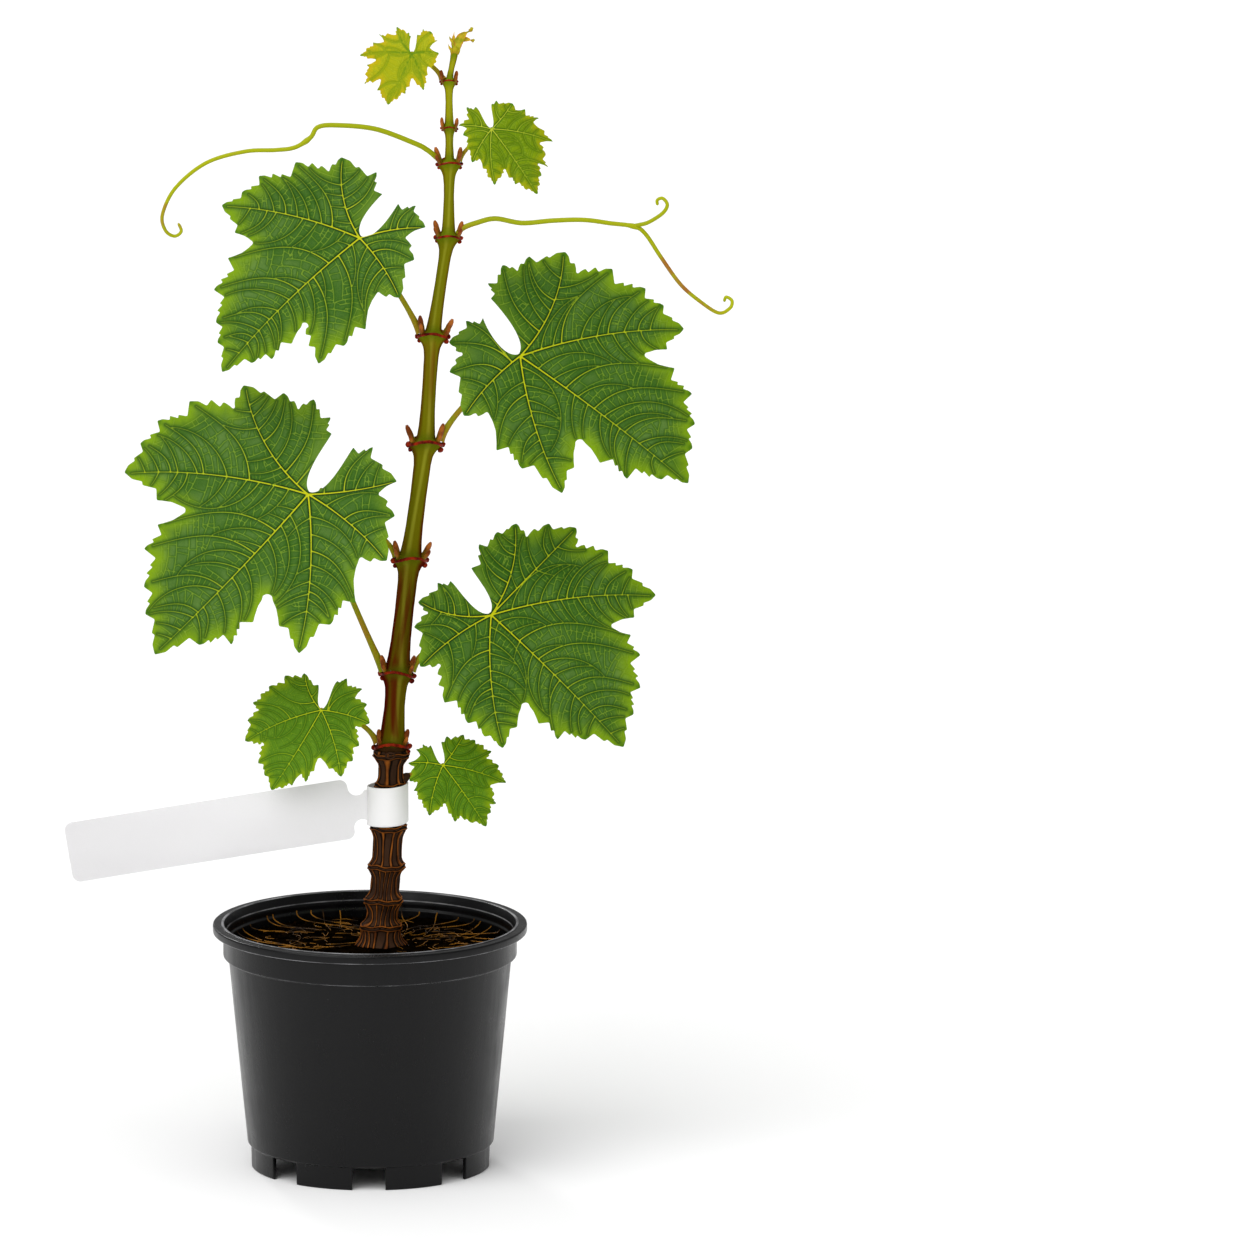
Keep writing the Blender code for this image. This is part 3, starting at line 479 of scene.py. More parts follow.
def soil_height(x, y):
    """The rule of the solid, with crumbs: level round the foot and sunk softly away from it."""
    away = math.hypot(x - FOOT_X, y) - FOOT_RADIUS - 5
    share = max(0.0, min(1.0, away / SOIL_SLOPE))
    swell = 0.5 + 0.25 * math.sin(x / 11 + 1.0) + 0.25 * math.sin(y / 9 - x / 17)
    crumbs = noise.fractal((x / 4.5, y / 4.5, 0.7), 0.8, 2.1, 4)
    return SOIL_TOP - SOIL_HOLLOW * share * swell - 0.5 + CRUMB_HEIGHT * crumbs


mix = Finish("potting_mix", roughness=0.8, specular=0.0)
patches = mix.fade(mix.noise(160, 4), 0.35, 0.7)
mix.colour(mix.blend(patches, rgb(2, 1, 0), rgb(13, 7, 2)))
mix.bump(mix.noise(700, 4), 0.6)

soil_points = [(0.0, 0.0, soil_height(0, 0))]
for ring in range(1, SOIL_RINGS + 1):
    radius = SOIL_RADIUS * ring / SOIL_RINGS
    for spoke in range(SOIL_SPOKES):
        turn = 2 * math.pi * spoke / SOIL_SPOKES
        x, y = radius * math.cos(turn), radius * math.sin(turn)
        soil_points.append((x, y, soil_height(x, y)))
soil_faces = [(0, 1 + i, 1 + (i + 1) % SOIL_SPOKES) for i in range(SOIL_SPOKES)]
for ring in range(SOIL_RINGS - 1):
    low, high = 1 + ring * SOIL_SPOKES, 1 + (ring + 1) * SOIL_SPOKES
    for i in range(SOIL_SPOKES):
        j = (i + 1) % SOIL_SPOKES
        soil_faces.append((low + i, high + i, high + j, low + j))
ground = make_mesh("mix_ground", soil_points, soil_faces, mix.material)
place("mix_ground", ground, "potting_mix", "soil")

# %% [markdown]
# ### Crumbs
#
# Chips of bark lie all over the mix. A tree is the way to lay out thousands of them: it picks random
# places on a flat ring, and gives the chip at each place its own turn, size and squash.

# %% Build the tree of crumbs
ANY_TURN = 6.3  # radians, a little over a full turn


def random_number(tree, low, high, seed):
    """A random number for each point or instance."""
    return add(tree, "FunctionNodeRandomValue", {2: low, 3: high, 8: seed}).outputs[1]


def random_vector(tree, low, high, seed):
    """Three random numbers for each point or instance."""
    inputs = {0: low, 1: high, 8: seed}
    return add(tree, "FunctionNodeRandomValue", inputs, data_type="FLOAT_VECTOR").outputs[0]


def vector_math(tree, operation, first, second):
    """One step of Blender's Vector Math node. SCALE takes a plain number."""
    inputs = {0: first, 3 if operation == "SCALE" else 1: second}
    return add(tree, "ShaderNodeVectorMath", inputs, operation=operation)


def random_places(tree, start):
    """Points strewn over the faces of the base mesh."""
    return add(tree, "GeometryNodeDistributePointsOnFaces", {
        "Mesh": start.outputs["Geometry"],
        "Density": start.outputs["Per square metre"],
        "Seed": start.outputs["Seed"],
    })


def set_down(tree, points, instance, rotation, scale):
    """A copy of the instance on every point."""
    return add(tree, "GeometryNodeInstanceOnPoints", {
        "Points": points, "Instance": instance, "Rotation": rotation, "Scale": scale,
    })


crumb_tree, start, end = new_tree("scattered crumbs", {
    "Per square metre": 100000.0, "Smallest": 0.3 * MM, "Largest": 1.2 * MM, "Seed": 3,
})
chip = add(crumb_tree, "GeometryNodeMeshIcoSphere", {"Radius": 1.0, "Subdivisions": 1})
turns = random_vector(crumb_tree, (0, 0, 0), (ANY_TURN, ANY_TURN, ANY_TURN), 1)
sizes = random_number(crumb_tree, start.outputs["Smallest"], start.outputs["Largest"], 2)
squash = random_vector(crumb_tree, (0.6, 0.5, 0.3), (2.2, 1.0, 0.7), 5)
scale = vector_math(crumb_tree, "SCALE", squash, sizes)
chips = set_down(crumb_tree, random_places(crumb_tree, start), chip, turns, scale)
end_tree(crumb_tree, start, end, chips)
print("crumb tree:", len(crumb_tree.nodes), "nodes")

# %% [markdown]
# ### Fine roots
#
# The fine roots are bent threads. The tree sets a short arc down at each place, makes it real, and
# pushes it about by noise that differs from root to root, so that no two bend alike. Then each one
# is made a thin tube.

# %% Build the tree of roots
root_tree, start, end = new_tree("laid roots", {
    "Per square metre": 16000.0, "Shortest": 5 * MM, "Longest": 13 * MM,
    "Thickness": 0.17 * MM, "Lift": 0.12, "Wander": 5 * MM, "Seed": 5,
})
lift = start.outputs["Lift"]
arc = add(root_tree, "GeometryNodeCurveArc", {"Resolution": 14, "Radius": 1.0, "Sweep Angle": 1.5})
lift_low = add(root_tree, "ShaderNodeMath", {0: lift, 1: -0.3}, operation="MULTIPLY")
tilt = random_number(root_tree, lift_low, lift, 4)
spun = random_number(root_tree, 0.0, ANY_TURN, 6)
turn = add(root_tree, "ShaderNodeCombineXYZ", {"X": tilt, "Z": spun})
span = random_number(root_tree, start.outputs["Shortest"], start.outputs["Longest"], 7)
laid = set_down(root_tree, random_places(root_tree, start), arc, turn, span)
marked = add(root_tree, "GeometryNodeStoreNamedAttribute", {
    "Geometry": laid, "Name": "luck", "Value": random_number(root_tree, 0.0, 9.0, 8),
}, data_type="FLOAT", domain="INSTANCE")
real = add(root_tree, "GeometryNodeRealizeInstances", {"Geometry": marked})
own = add(root_tree, "GeometryNodeInputNamedAttribute", {"Name": "luck"}, data_type="FLOAT")
sway = add(root_tree, "ShaderNodeTexNoise", {
    "Scale": 70.0, "Detail": 1.0, "W": own,
}, noise_dimensions="4D")
centred = vector_math(root_tree, "SUBTRACT", sway.outputs["Color"], (0.5, 0.5, 0.5))
flatter = vector_math(root_tree, "MULTIPLY", centred, (2.0, 2.0, 0.35))
moved = vector_math(root_tree, "SCALE", flatter, start.outputs["Wander"])
bent = add(root_tree, "GeometryNodeSetPosition", {"Geometry": real, "Offset": moved})
end_tree(root_tree, start, end, sweep_round(root_tree, bent, 5, start.outputs["Thickness"]))
print("root tree:", len(root_tree.nodes), "nodes")

# %% [markdown]
# ### Strew the crumbs and lay the roots
#
# Both trees work on a flat ring just under the surface of the mix. The longest roots stand up at the
# wall before they run in. Such a path is easier to draw than to scatter, so each follows a few
# stops from the wall inwards, and the tube tree rounds it.

# %% Scatter crumbs and roots
BED_STEPS = 96
WALL_ROOTS = 44
WALL_ROOT_RADIUS = 0.34


def ring_strip(name, inner, outer, lift):
    """A flat ring at the mix's surface, as the ground that a tree scatters on."""
    points, faces = [], []
    for i in range(BED_STEPS):
        turn = 2 * math.pi * i / BED_STEPS
        for radius in (inner, outer):
            points.append((radius * math.cos(turn), radius * math.sin(turn), SOIL_TOP - 1.0 + lift))
        j = (i + 1) % BED_STEPS
        faces.append((2 * i, 2 * i + 1, 2 * j + 1, 2 * j))
    return make_mesh(name, points, faces, mix.material)


fibre = Finish("root_fibre", roughness=0.45, specular=0.12)
fibre.colour(fibre.wash(rgb(34, 20, 5), rgb(146, 96, 20), fibre.noise(90, 3), 0.38, 0.62))
crumb = Finish("mix_crumb", roughness=0.8, specular=0.0)
crumb.colour(crumb.wash(rgb(3, 2, 1), rgb(24, 13, 4), crumb.noise(260, 2), 0.3, 0.75))

bed = ring_strip("bed", inner=15, outer=73, lift=-0.4)
crumbs = grow("crumbs", bed, crumb_tree, Finish=crumb.material)
place("mix_crumbs", crumbs, "potting_mix")
root_bed = ring_strip("root_bed", inner=16, outer=56, lift=0.2)
roots = grow("roots", root_bed, root_tree, Finish=fibre.material)
place("root_web", roots, "potting_mix")


def wall_root(turn, luck):
    """One long root: it stands at the wall, comes down in a bow and runs in over the mix."""
    sweep = luck.choice((-1, 1)) * luck.uniform(0.15, 0.5)
    tall = luck.uniform(2.5, 6.0)
    ground = SOIL_TOP - 0.9
    stops = (
        (72.6, 0.0, tall), (71.2, 0.0, tall * 0.5), (67.5, 0.1, 0.6),
        (58, 0.35, 0.1), (47, 0.7, 0.3), (36, 1.0, -1.2),
    )
    points = []
    for radius, share, rise in stops:
        at = turn + sweep * share
        radius -= luck.uniform(0, 2) * (share > 0)
        points.append((radius * math.cos(at), radius * math.sin(at), ground + rise))
    route = smooth_route(points, 6)
    last = len(route) - 1
    return route, [WALL_ROOT_RADIUS - 0.16 * i / last for i in range(last + 1)]


luck = random.Random(21)
hooks = [
    wall_root(2 * math.pi * (i + luck.uniform(0, 0.7)) / WALL_ROOTS, luck) for i in range(WALL_ROOTS)
]
place("root_hooks", tubes("standing", hooks, 6, fibre), "potting_mix")

# %% [markdown]
# ## Woody foot
#
# Old grape wood is dark and fluted. Between two knotted rings its bark stands in narrow orange
# ridges that bend outwards to the rings, and each ring has two raised lips. All of that is a rule
# in height and angle, so the bark is one fine grid that is pushed in and out by numpy. The height
# of the ridges is kept as a number on each point and picks the colour.

# %% Shape the bark
TRUNK_FOOT = 118.3
TRUNK_TOP = 222.4
FOOT_FLARE = 6.0
WOOD_JOINTS = (  # height, middle, radius of the ring, and radius of the wood above it
    (127.7, 5.7, 11.0, 8.3),
    (141.7, 7.1, 10.2, 7.8),
    (160.0, 8.8, 9.9, 7.8),
    (180.9, 9.9, 9.7, 7.8),
    (203.4, 10.9, 8.2, 7.2),
    (219.5, 11.4, 9.6, 9.0),
)
RIDGES = (21, 18, 16, 13, 11, 8, 7)  # how many in each run between two rings, from the foot up
BARK_ROWS = 270
BARK_COLUMNS = 280

stations = [(TRUNK_FOOT, 5.5, FOOT_RADIUS + 0.6), (119.6, 5.5, 12.2), (121.6, 5.5, 10.9), (124.4, 5.6, 10.2)]
for (height, x, crest, waist), after in zip(WOOD_JOINTS, WOOD_JOINTS[1:] + (None,)):
    stations.append((height - 1.6, x, crest * 0.93))
    stations.append((height + 0.8, x, crest * 0.96))
    if after is None:
        stations.append((TRUNK_TOP, x, waist))
        continue
    lean = (after[1] - x) / (after[0] - height)
    for rise in (4.0, (after[0] - height) - 5.0):
        stations.append((height + rise, x + lean * rise, waist - 0.2))
stations = np.array(stations)

rows = np.linspace(TRUNK_FOOT, TRUNK_TOP, BARK_ROWS)
turns = np.linspace(0, 2 * math.pi, BARK_COLUMNS, endpoint=False)
height, turn = np.meshgrid(rows, turns, indexing="ij")


def eased_curve(at, known, values, width):
    """Straight runs between known values, softened by averaging over a width."""
    shifts = np.linspace(-width, width, 7)
    return np.mean([np.interp(at + shift, known, values) for shift in shifts], axis=0)


def tube_faces(rows, columns, first=0):
    """Faces of a closed tube whose points stand row above row."""
    faces = []
    for low in range(first, first + (rows - 1) * columns, columns):
        high = low + columns
        for i in range(columns):
            j = (i + 1) % columns
            faces.append((low + i, low + j, high + j, high + i))
    top = first + (rows - 1) * columns
    faces.append(tuple(range(top, top + columns)))
    faces.append(tuple(reversed(range(first, first + columns))))
    return faces


centre = eased_curve(height, stations[:, 0], stations[:, 1], 1.5)
girth = eased_curve(height, stations[:, 0], stations[:, 2], 1.2)
rings = np.array([joint[0] for joint in WOOD_JOINTS])
segment = np.searchsorted(rings, height)
lower = np.where(segment > 0, rings[np.maximum(segment - 1, 0)], TRUNK_FOOT - 8)
upper = np.where(segment < len(rings), rings[np.minimum(segment, len(rings) - 1)], TRUNK_TOP + 9)
share = (height - lower) / (upper - lower)
from_ring = np.minimum(height - lower, upper - height)

count = np.array(RIDGES)[segment]
warped = (
    turn
    + 0.16 * np.sin(2 * turn + 1.7 * segment)
    + 0.10 * np.sin(3 * turn - segment)
    + 0.05 * np.sin(share * 5 + 4 * turn)
    - 0.3 * (2 * share - 1) ** 2 * np.cos(turn)
)
phase = (warped * count / (2 * math.pi) + 0.37 * segment) % 1.0
blade = np.exp(-((phase - 0.5) / (0.13 + 0.04 * np.sin(2 * turn + segment))) ** 2)
second = np.exp(-((((phase + 0.22) % 1.0) - 0.5) / 0.07) ** 2) * (np.sin(turn * 5 + segment * 2) > -0.2)
flare = np.clip(1 - from_ring / 5.0, 0, 1)
keep = 1 - np.exp(-(from_ring / 1.3) ** 2)
ridge = (blade * (0.75 + 0.25 * flare) + 0.5 * second * (0.4 + 0.6 * flare)) * keep

lips = np.zeros_like(height)
knobs = np.zeros_like(height)
for number, ring in enumerate(rings):
    wave = 0.45 * np.sin(3 * turn + number) + 0.25 * np.sin(7 * turn + 2 * number)
    lips += np.exp(-((height - ring - 1.1 - wave) / 0.42) ** 2)
    lips += 0.85 * np.exp(-((height - ring + 1.0 - wave) / 0.42) ** 2)
    beside = np.exp(-(np.sin(turn / 2) / 0.16) ** 2) + np.exp(-(np.cos(turn / 2) / 0.16) ** 2)
    knobs += beside * np.exp(-((height - ring + 0.2) / 1.5) ** 2)
foot_share = np.clip(1 - (height - TRUNK_FOOT) / FOOT_FLARE, 0, 1)
grain = 0.16 * np.sin(41 * turn + 3 * np.sin(height / 2.2)) * np.sin(height * 1.3 + 6 * turn)
depth = girth * (1 + 0.05 * foot_share * np.cos(5 * turn + 0.6))
depth = depth + (0.85 + 0.5 * foot_share) * ridge + 0.6 * lips + 0.9 * knobs + 0.12 * grain - 0.4
x = centre + depth * np.cos(turn)
y = 0.94 * depth * np.sin(turn)

bark_points = np.stack([x, y, height], axis=-1).reshape(-1, 3)
crest = np.clip(np.maximum(ridge, 0.8 * lips + 0.4 * knobs), 0, 1).reshape(-1)
print("bark:", len(bark_points), "points, deepest", round(float(depth.min()), 1), "mm from the middle")

# %% [markdown]
# ### Finish of the bark
#
# The grooves are dark, with a near-black line of painted shade along the foot of each ridge, and the
# ridges are orange brown. The number kept on the points says how high a place stands on its ridge,
# so the colour follows the form and never slips off it.

# %% Dress the woody foot
bark = Finish("bark", roughness=0.55, specular=0.06)
ridges = bark.number("crest")
streak = bark.noise(220, 4, stretch=(1, 1, 0.25))
flat_bark = bark.blend(streak, rgb(30, 18, 12), rgb(72, 48, 32))
# Painted shade: a near-black line along the foot of every ridge and lip.
ridge_foot_shade = bark.wash(flat_bark, rgb(10, 5, 2), ridges, 0.0, 0.12)
rib = bark.wash(rgb(88, 44, 14), rgb(166, 94, 30), bark.noise(90, 3), 0.3, 0.7)
bark.colour(bark.wash(ridge_foot_shade, rib, ridges, 0.25, 0.9))
bark.roughness(bark.fade(ridges, 0.2, 0.9, 0.8, 0.55))
bark.bump(streak, 0.5)
bark_faces = tube_faces(BARK_ROWS, BARK_COLUMNS)
wood = make_mesh("woody_foot", bark_points, bark_faces, bark.material, crest=crest)
place("woody_foot", wood, "bark", "trunk")

# %% [markdown]
# ## Green shoot
#
# The shoot is smooth, a little ribbed, olive green with wine-red streaks, and redder and darker
# towards the wood. It swells under each joint and steps in above it, so it is a fine round grid
# whose radius changes with height. The table gives every joint's height, its middle, the size of its
# ring and the shoot's radius above it. A real joint swells more than the plain cones of the solid,
# and more so higher up, so the sizes of the rings are raised a little.

# %% Sweep the shoot
CANE_FOOT = 222.6
CANE_FOOT_RADIUS = 8.6
CANE_TOP = 591.6
JOINTS = {
    "base": (225.4, (11.7, 0.0), 8.2, 5.6),
    "first": (263.8, (14.8, 0.5), 7.6, 5.2),
    "second": (324.5, (21.5, 1.5), 7.2, 4.5),
    "third": (386.2, (29.8, 1.0), 7.0, 3.8),
    "fourth": (443.6, (33.8, -0.5), 6.0, 3.2),
    "fifth": (495.7, (42.0, -1.0), 4.9, 2.8),
    "sixth": (534.2, (42.6, 0.0), 4.6, 2.1),
    "seventh": (552.6, (42.6, 0.5), 3.0, 1.9),
    "eighth": (577.3, (42.4, 0.0), 3.2, 1.5),
    "tip": (CANE_TOP, (45.6, 0.0), 1.6, 1.6),
}
MORE_SWELL = 0.22
MORE_SWELL_RISE = 250.0
for name, (level, centre, ring, above) in JOINTS.items():
    swell = 1 + MORE_SWELL * min(1.0, (level - CANE_FOOT) / MORE_SWELL_RISE)
    JOINTS[name] = (level, centre, ring * swell, above)
ABOVE_JOINT = ((1.8, 1.38), (5.0, 1.22), (10.0, 1.1), (18.0, 1.0))  # rise, and radius as a share
BELOW_JOINT = ((11.0, 0.05), (6.5, 0.2), (4.0, 0.5), (2.0, 0.95), (0.6, 1.35))  # drop, share of swell
RING_BOW = 0.17
CANE_ROWS = 620
CANE_COLUMNS = 72


def cane_profile():
    """(height, middle x, middle y, radius) up the shoot, by the rule of the solid."""
    joints = list(JOINTS.values())
    found = [(CANE_FOOT, *joints[0][1], CANE_FOOT_RADIUS)]
    for (low, centre, _, above), (high, end, ring, _) in zip(joints, joints[1:]):
        run, below = high - low, above * 0.95
        scale = min(1.0, run / 40)
        stops = [(rise * scale, above * wider) for rise, wider in ABOVE_JOINT]
        if high == CANE_TOP:
            stops.append((run, ring))
        else:
            stops.append((run * 0.55, below))
            stops += [(run - drop * scale, below + share * (ring - below)) for drop, share in BELOW_JOINT]
            stops.append((run + 0.6 * scale, ring * 1.06))
        for rise, radius in stops:
            middle = [near + (far - near) * (rise / run) for near, far in zip(centre, end)]
            found.append((low + rise, *middle, radius))
    return np.array(found)


profile = cane_profile()
height, turn = np.meshgrid(
    np.linspace(CANE_FOOT, CANE_TOP, CANE_ROWS),
    np.linspace(0, 2 * math.pi, CANE_COLUMNS, endpoint=False),
    indexing="ij",
)
middle_x = eased_curve(height, profile[:, 0], profile[:, 1], 4.0)
middle_y = eased_curve(height, profile[:, 0], profile[:, 2], 4.0)
known = np.array([(joint[0], joint[2]) for joint in JOINTS.values()])
bow = RING_BOW * np.interp(height, known[:, 0], known[:, 1]) * np.cos(2 * turn)
radius = eased_curve(height + bow, profile[:, 0], profile[:, 3], 0.8)
twist = turn + 0.006 * (height - CANE_FOOT) + 0.5 * np.sin(height / 31)
radius = radius * (1 + 0.022 * np.sin(7 * twist) + 0.012 * np.sin(13 * twist + 1))
shoot_points = np.stack(
    [middle_x + radius * np.cos(turn), middle_y + 0.95 * radius * np.sin(turn), height], axis=-1
).reshape(-1, 3)
climb = ((height - CANE_FOOT) / (CANE_TOP - CANE_FOOT)).reshape(-1)
joint_heights = np.array([joint[0] for joint in JOINTS.values()])
off_joint = np.min(np.abs((height + bow).reshape(-1, 1) - joint_heights), axis=1)
rib = (0.5 + 0.5 * np.sin(5 * twist + 1.2 * np.sin(height / 19))).reshape(-1)
flank = np.abs(np.cos(turn + 0.25 * np.sin(height / 23))).reshape(-1)
print("shoot:", len(shoot_points), "points up to", CANE_TOP, "mm")

# %% [markdown]
# ### Finish of the shoot
#
# Numbers on the points say how high a place stands, how near a joint, on which rib, and how far
# round to the side. A paler line down the front and back is a painted highlight, the streaks follow
# the ribs, the left and right sides are darkened to wine red as painted shade, and a joint is greener.

# %% Dress the shoot
shoot = Finish("green_shoot", roughness=0.4, specular=0.0)
climb_at = shoot.number("climb")
green = shoot.wash(rgb(90, 84, 5), rgb(114, 114, 12), climb_at, 0.0, 0.8)
green = shoot.wash(green, rgb(150, 152, 16), climb_at, 0.78, 0.98)
# Painted highlight: a paler line down the front and back of the shoot.
green = shoot.wash(green, rgb(152, 152, 44), shoot.number("flank"), 0.04, 0.34, 0.5, 0.0)
red = shoot.wash(rgb(84, 26, 6), rgb(118, 58, 16), climb_at, 0.0, 0.9)
stripes = shoot.fade(shoot.noise(75, 3, stretch=(1, 1, 0.12)), 0.46, 0.62)
streaks = shoot.math("MULTIPLY", stripes, shoot.fade(shoot.number("rib"), 0.2, 0.9, 0.4, 0.95))
broken = shoot.fade(stripes, 0.0, 1.0, 0.7, 1.0)
# Painted shade: the left and right sides are darkened, wine red low down and dark olive higher up.
side_shade_mask = shoot.math("MULTIPLY", shoot.fade(shoot.number("flank"), 0.68, 0.97), broken)
streaks = shoot.math("MULTIPLY", streaks, shoot.fade(climb_at, 0.3, 0.8, 1.0, 0.3))
near_ring = shoot.fade(shoot.number("off_joint"), 0.5, 6.0, 0.75, 0.0)
joint_green = shoot.blend(climb_at, rgb(78, 76, 8), rgb(92, 116, 8))
tinted = shoot.blend(near_ring, shoot.blend(streaks, green, red), joint_green)
side_shade = shoot.wash(rgb(78, 14, 4), rgb(98, 76, 8), climb_at, 0.2, 0.95)
tinted = shoot.blend(side_shade_mask, tinted, side_shade)
shoot.colour(shoot.wash(rgb(54, 34, 16), tinted, climb_at, 0.004, 0.012))
shoot.roughness(shoot.fade(shoot.noise(120, 2), 0.3, 0.7, 0.36, 0.5))
shoot.bump(shoot.noise(300, 3, stretch=(1, 1, 0.2)), 0.12)
stem = make_mesh(
    "green_shoot", shoot_points, tube_faces(CANE_ROWS, CANE_COLUMNS), shoot.material,
    climb=climb, off_joint=off_joint, rib=rib, flank=flank,
)
place("green_shoot", stem, "green_cane", "cane")

# %% [markdown]
# ### Rings and their knobs
#
# Each joint wears a thin dark red ring with two small knobs at either side, where the scales of the
# young shoot fell off. The same form comes back nine times in nine sizes, which is work for a tree:
# it sets one ring with its knobs down at each joint and scales it to the number stored there.

# %% Set a ring at each joint
KNOBS = (  # side, distance from the middle, height and size, as shares of the ring
    (-1, 1.13, -0.17, 1.0), (-1, 0.99, -0.5, 0.8), (1, 1.13, -0.15, 0.9), (1, 0.99, -0.5, 0.95),
)
ring_tree, start, end = new_tree("joint rings", {"Band": 0.1, "Knob": 0.2, "Bow": RING_BOW})
loop = add(ring_tree, "GeometryNodeCurvePrimitiveCircle", {"Resolution": 64, "Radius": 1.07})
spot = add(ring_tree, "GeometryNodeInputPosition")
squares = vector_math(ring_tree, "MULTIPLY", spot, spot)
apart = vector_math(ring_tree, "DOT_PRODUCT", squares, (-1, 1, 0)).outputs["Value"]
rise = add(ring_tree, "ShaderNodeMath", {0: apart, 1: start.outputs["Bow"]}, operation="MULTIPLY")
offset = add(ring_tree, "ShaderNodeCombineXYZ", {"Z": rise})
bowed = add(ring_tree, "GeometryNodeSetPosition", {"Geometry": loop, "Offset": offset})
band = sweep_round(ring_tree, bowed, 10, start.outputs["Band"])
parts = add(ring_tree, "GeometryNodeJoinGeometry", {"Geometry": band})
for side, out, level, size in KNOBS:
    ball = add(ring_tree, "GeometryNodeMeshIcoSphere", {"Radius": 1.0, "Subdivisions": 3})
    swollen = add(ring_tree, "ShaderNodeMath", {0: start.outputs["Knob"], 1: size}, operation="MULTIPLY")
    lump = add(ring_tree, "GeometryNodeTransform", {
        "Geometry": ball,
        "Translation": (side * out, -0.05, level),
        "Rotation": (0, side * 0.4, 0),
        "Scale": swollen,
    })
    ring_tree.links.new(lump.outputs[0], parts.inputs[0])
size_at = add(ring_tree, "GeometryNodeInputNamedAttribute", {"Name": "ring"}, data_type="FLOAT")
lean = random_vector(ring_tree, (-0.05, -0.07, -0.2), (0.05, 0.07, 0.2), 2)
worn = set_down(ring_tree, start.outputs["Geometry"], parts, lean, size_at)
real = add(ring_tree, "GeometryNodeRealizeInstances", {"Geometry": worn})
rough = add(ring_tree, "ShaderNodeTexNoise", {"Scale": 520.0, "Detail": 2.0})
level = vector_math(ring_tree, "SUBTRACT", rough.outputs["Color"], (0.5, 0.5, 0.5))
small = vector_math(ring_tree, "SCALE", level, 0.9 * MM)
uneven = add(ring_tree, "GeometryNodeSetPosition", {"Geometry": real, "Offset": small})
end_tree(ring_tree, start, end, uneven)

scale_red = Finish("ring_red", roughness=0.4, specular=0.04)
worn_away = scale_red.fade(scale_red.noise(300, 3), 0.3, 0.7)
scale_red.colour(scale_red.blend(worn_away, rgb(72, 6, 6), rgb(152, 42, 14)))
worn_joints = [joint for name, joint in JOINTS.items() if name != "tip"]
ring_places = [(*centre, height - 0.2) for height, centre, _, _ in worn_joints]
ring_sizes = [ring * MM for _, _, ring, _ in worn_joints]
marks = make_mesh("joint_marks", ring_places, [], scale_red.material, ring=ring_sizes)
ring_data = grow("rings", marks, ring_tree, Finish=scale_red.material)
place("joint_rings", ring_data, "green_cane")

# %% [markdown]
# ### Buds
#
# At either side of every joint stands a long blunt bud with a shorter one in front of it, green at
# the foot and rust red at the end. Each is a short bent chain of points with a belly, and the tube
# tree rounds it. The table gives the joint, the lean in degrees and the length.

# %% Grow the buds
BUDS = {
    "base": ((-10, 6.5), (22, 7.0)),
    "first": ((-20, 8.0), (24, 8.0)),
    "second": ((-18, 8.0), (36, 8.5)),
    "third": ((-28, 8.5), (24, 9.0)),
    "fourth": ((-12, 8.5), (36, 8.0)),
    "fifth": ((-22, 8.0), (24, 7.5)),
    "sixth": ((-24, 8.5), (16, 8.0)),
    "seventh": ((-16, 6.5), (18, 6.0)),
    "eighth": ((-14, 6.5), (16, 6.0)),
}
BUD_RADIUS = 1.5
chance = random.Random(7)


def bud_route(joint, lean, length, forward, width):
    """A short blunt spike from the shoulder of a ring, bent a little back towards the shoot."""
    height, centre, ring, _ = JOINTS[joint]
    side = math.copysign(1, lean)
    scale = min(1.0, 0.28 + ring / 9)
    length = (length + 3.4) * (0.4 + 0.085 * min(ring, 7.0))
    angle = math.radians(lean * 0.85)
    out = Vector((math.sin(angle), -0.15 - forward * 0.3, math.cos(angle))).normalized()
    root = Vector((centre[0] + side * ring * 0.64, centre[1] - 0.4 - forward * ring * 0.35, height - 1.6))
    route, radii = [], []
    for i in range(9):
        share = i / 8
        bend = Vector((-side, 0, 0.3)) * 0.9 * math.sin(share * math.pi) * chance.uniform(0.5, 1.0) * 0.5
        route.append(root + out * length * share - bend)
        belly = 0.85 + 0.25 * math.sin(math.pi * share ** 1.4) - 0.12 * share - 0.3 * share ** 12
        radii.append(BUD_RADIUS * scale * width * belly)
    return route, radii


bud_routes = []
for joint, lean, length in [(joint, *bud) for joint, pair in BUDS.items() for bud in pair]:
    bud_routes.append(bud_route(joint, lean, length, 0, 1.0))
    small_lean = lean * chance.uniform(1.1, 1.5)
    bud_routes.append(bud_route(joint, small_lean, length * chance.uniform(0.5, 0.72), 1, 0.75))
bud = Finish("bud", roughness=0.4, specular=0.08)
tip_share = bud.number("along")
bud_green = bud.wash(rgb(120, 110, 14), rgb(112, 66, 14), bud.noise(250, 2), 0.3, 0.7)
rust = bud.wash(rgb(112, 50, 14), rgb(172, 98, 36), bud.noise(180, 3), 0.35, 0.65)
bud.colour(bud.wash(bud_green, rust, tip_share, 0.25, 0.8))
bud.bump(bud.noise(500, 3, stretch=(1, 1, 0.3)), 0.2)
place("axil_buds", tubes("buds", bud_routes, 14, bud), "green_cane")

# %% [markdown]
# ## Leaves
#
# A vine leaf is one thin blade with five main veins that fan out from the stalk's end. The edge is
# cut into lobes and double teeth. The outline follows the same table and rule as the solid: the tips
# of the lobes, the notches and the large teeth, each with a bearing from the midrib in degrees and a
# length in millimetres. In the order of their bearings they make the edge.

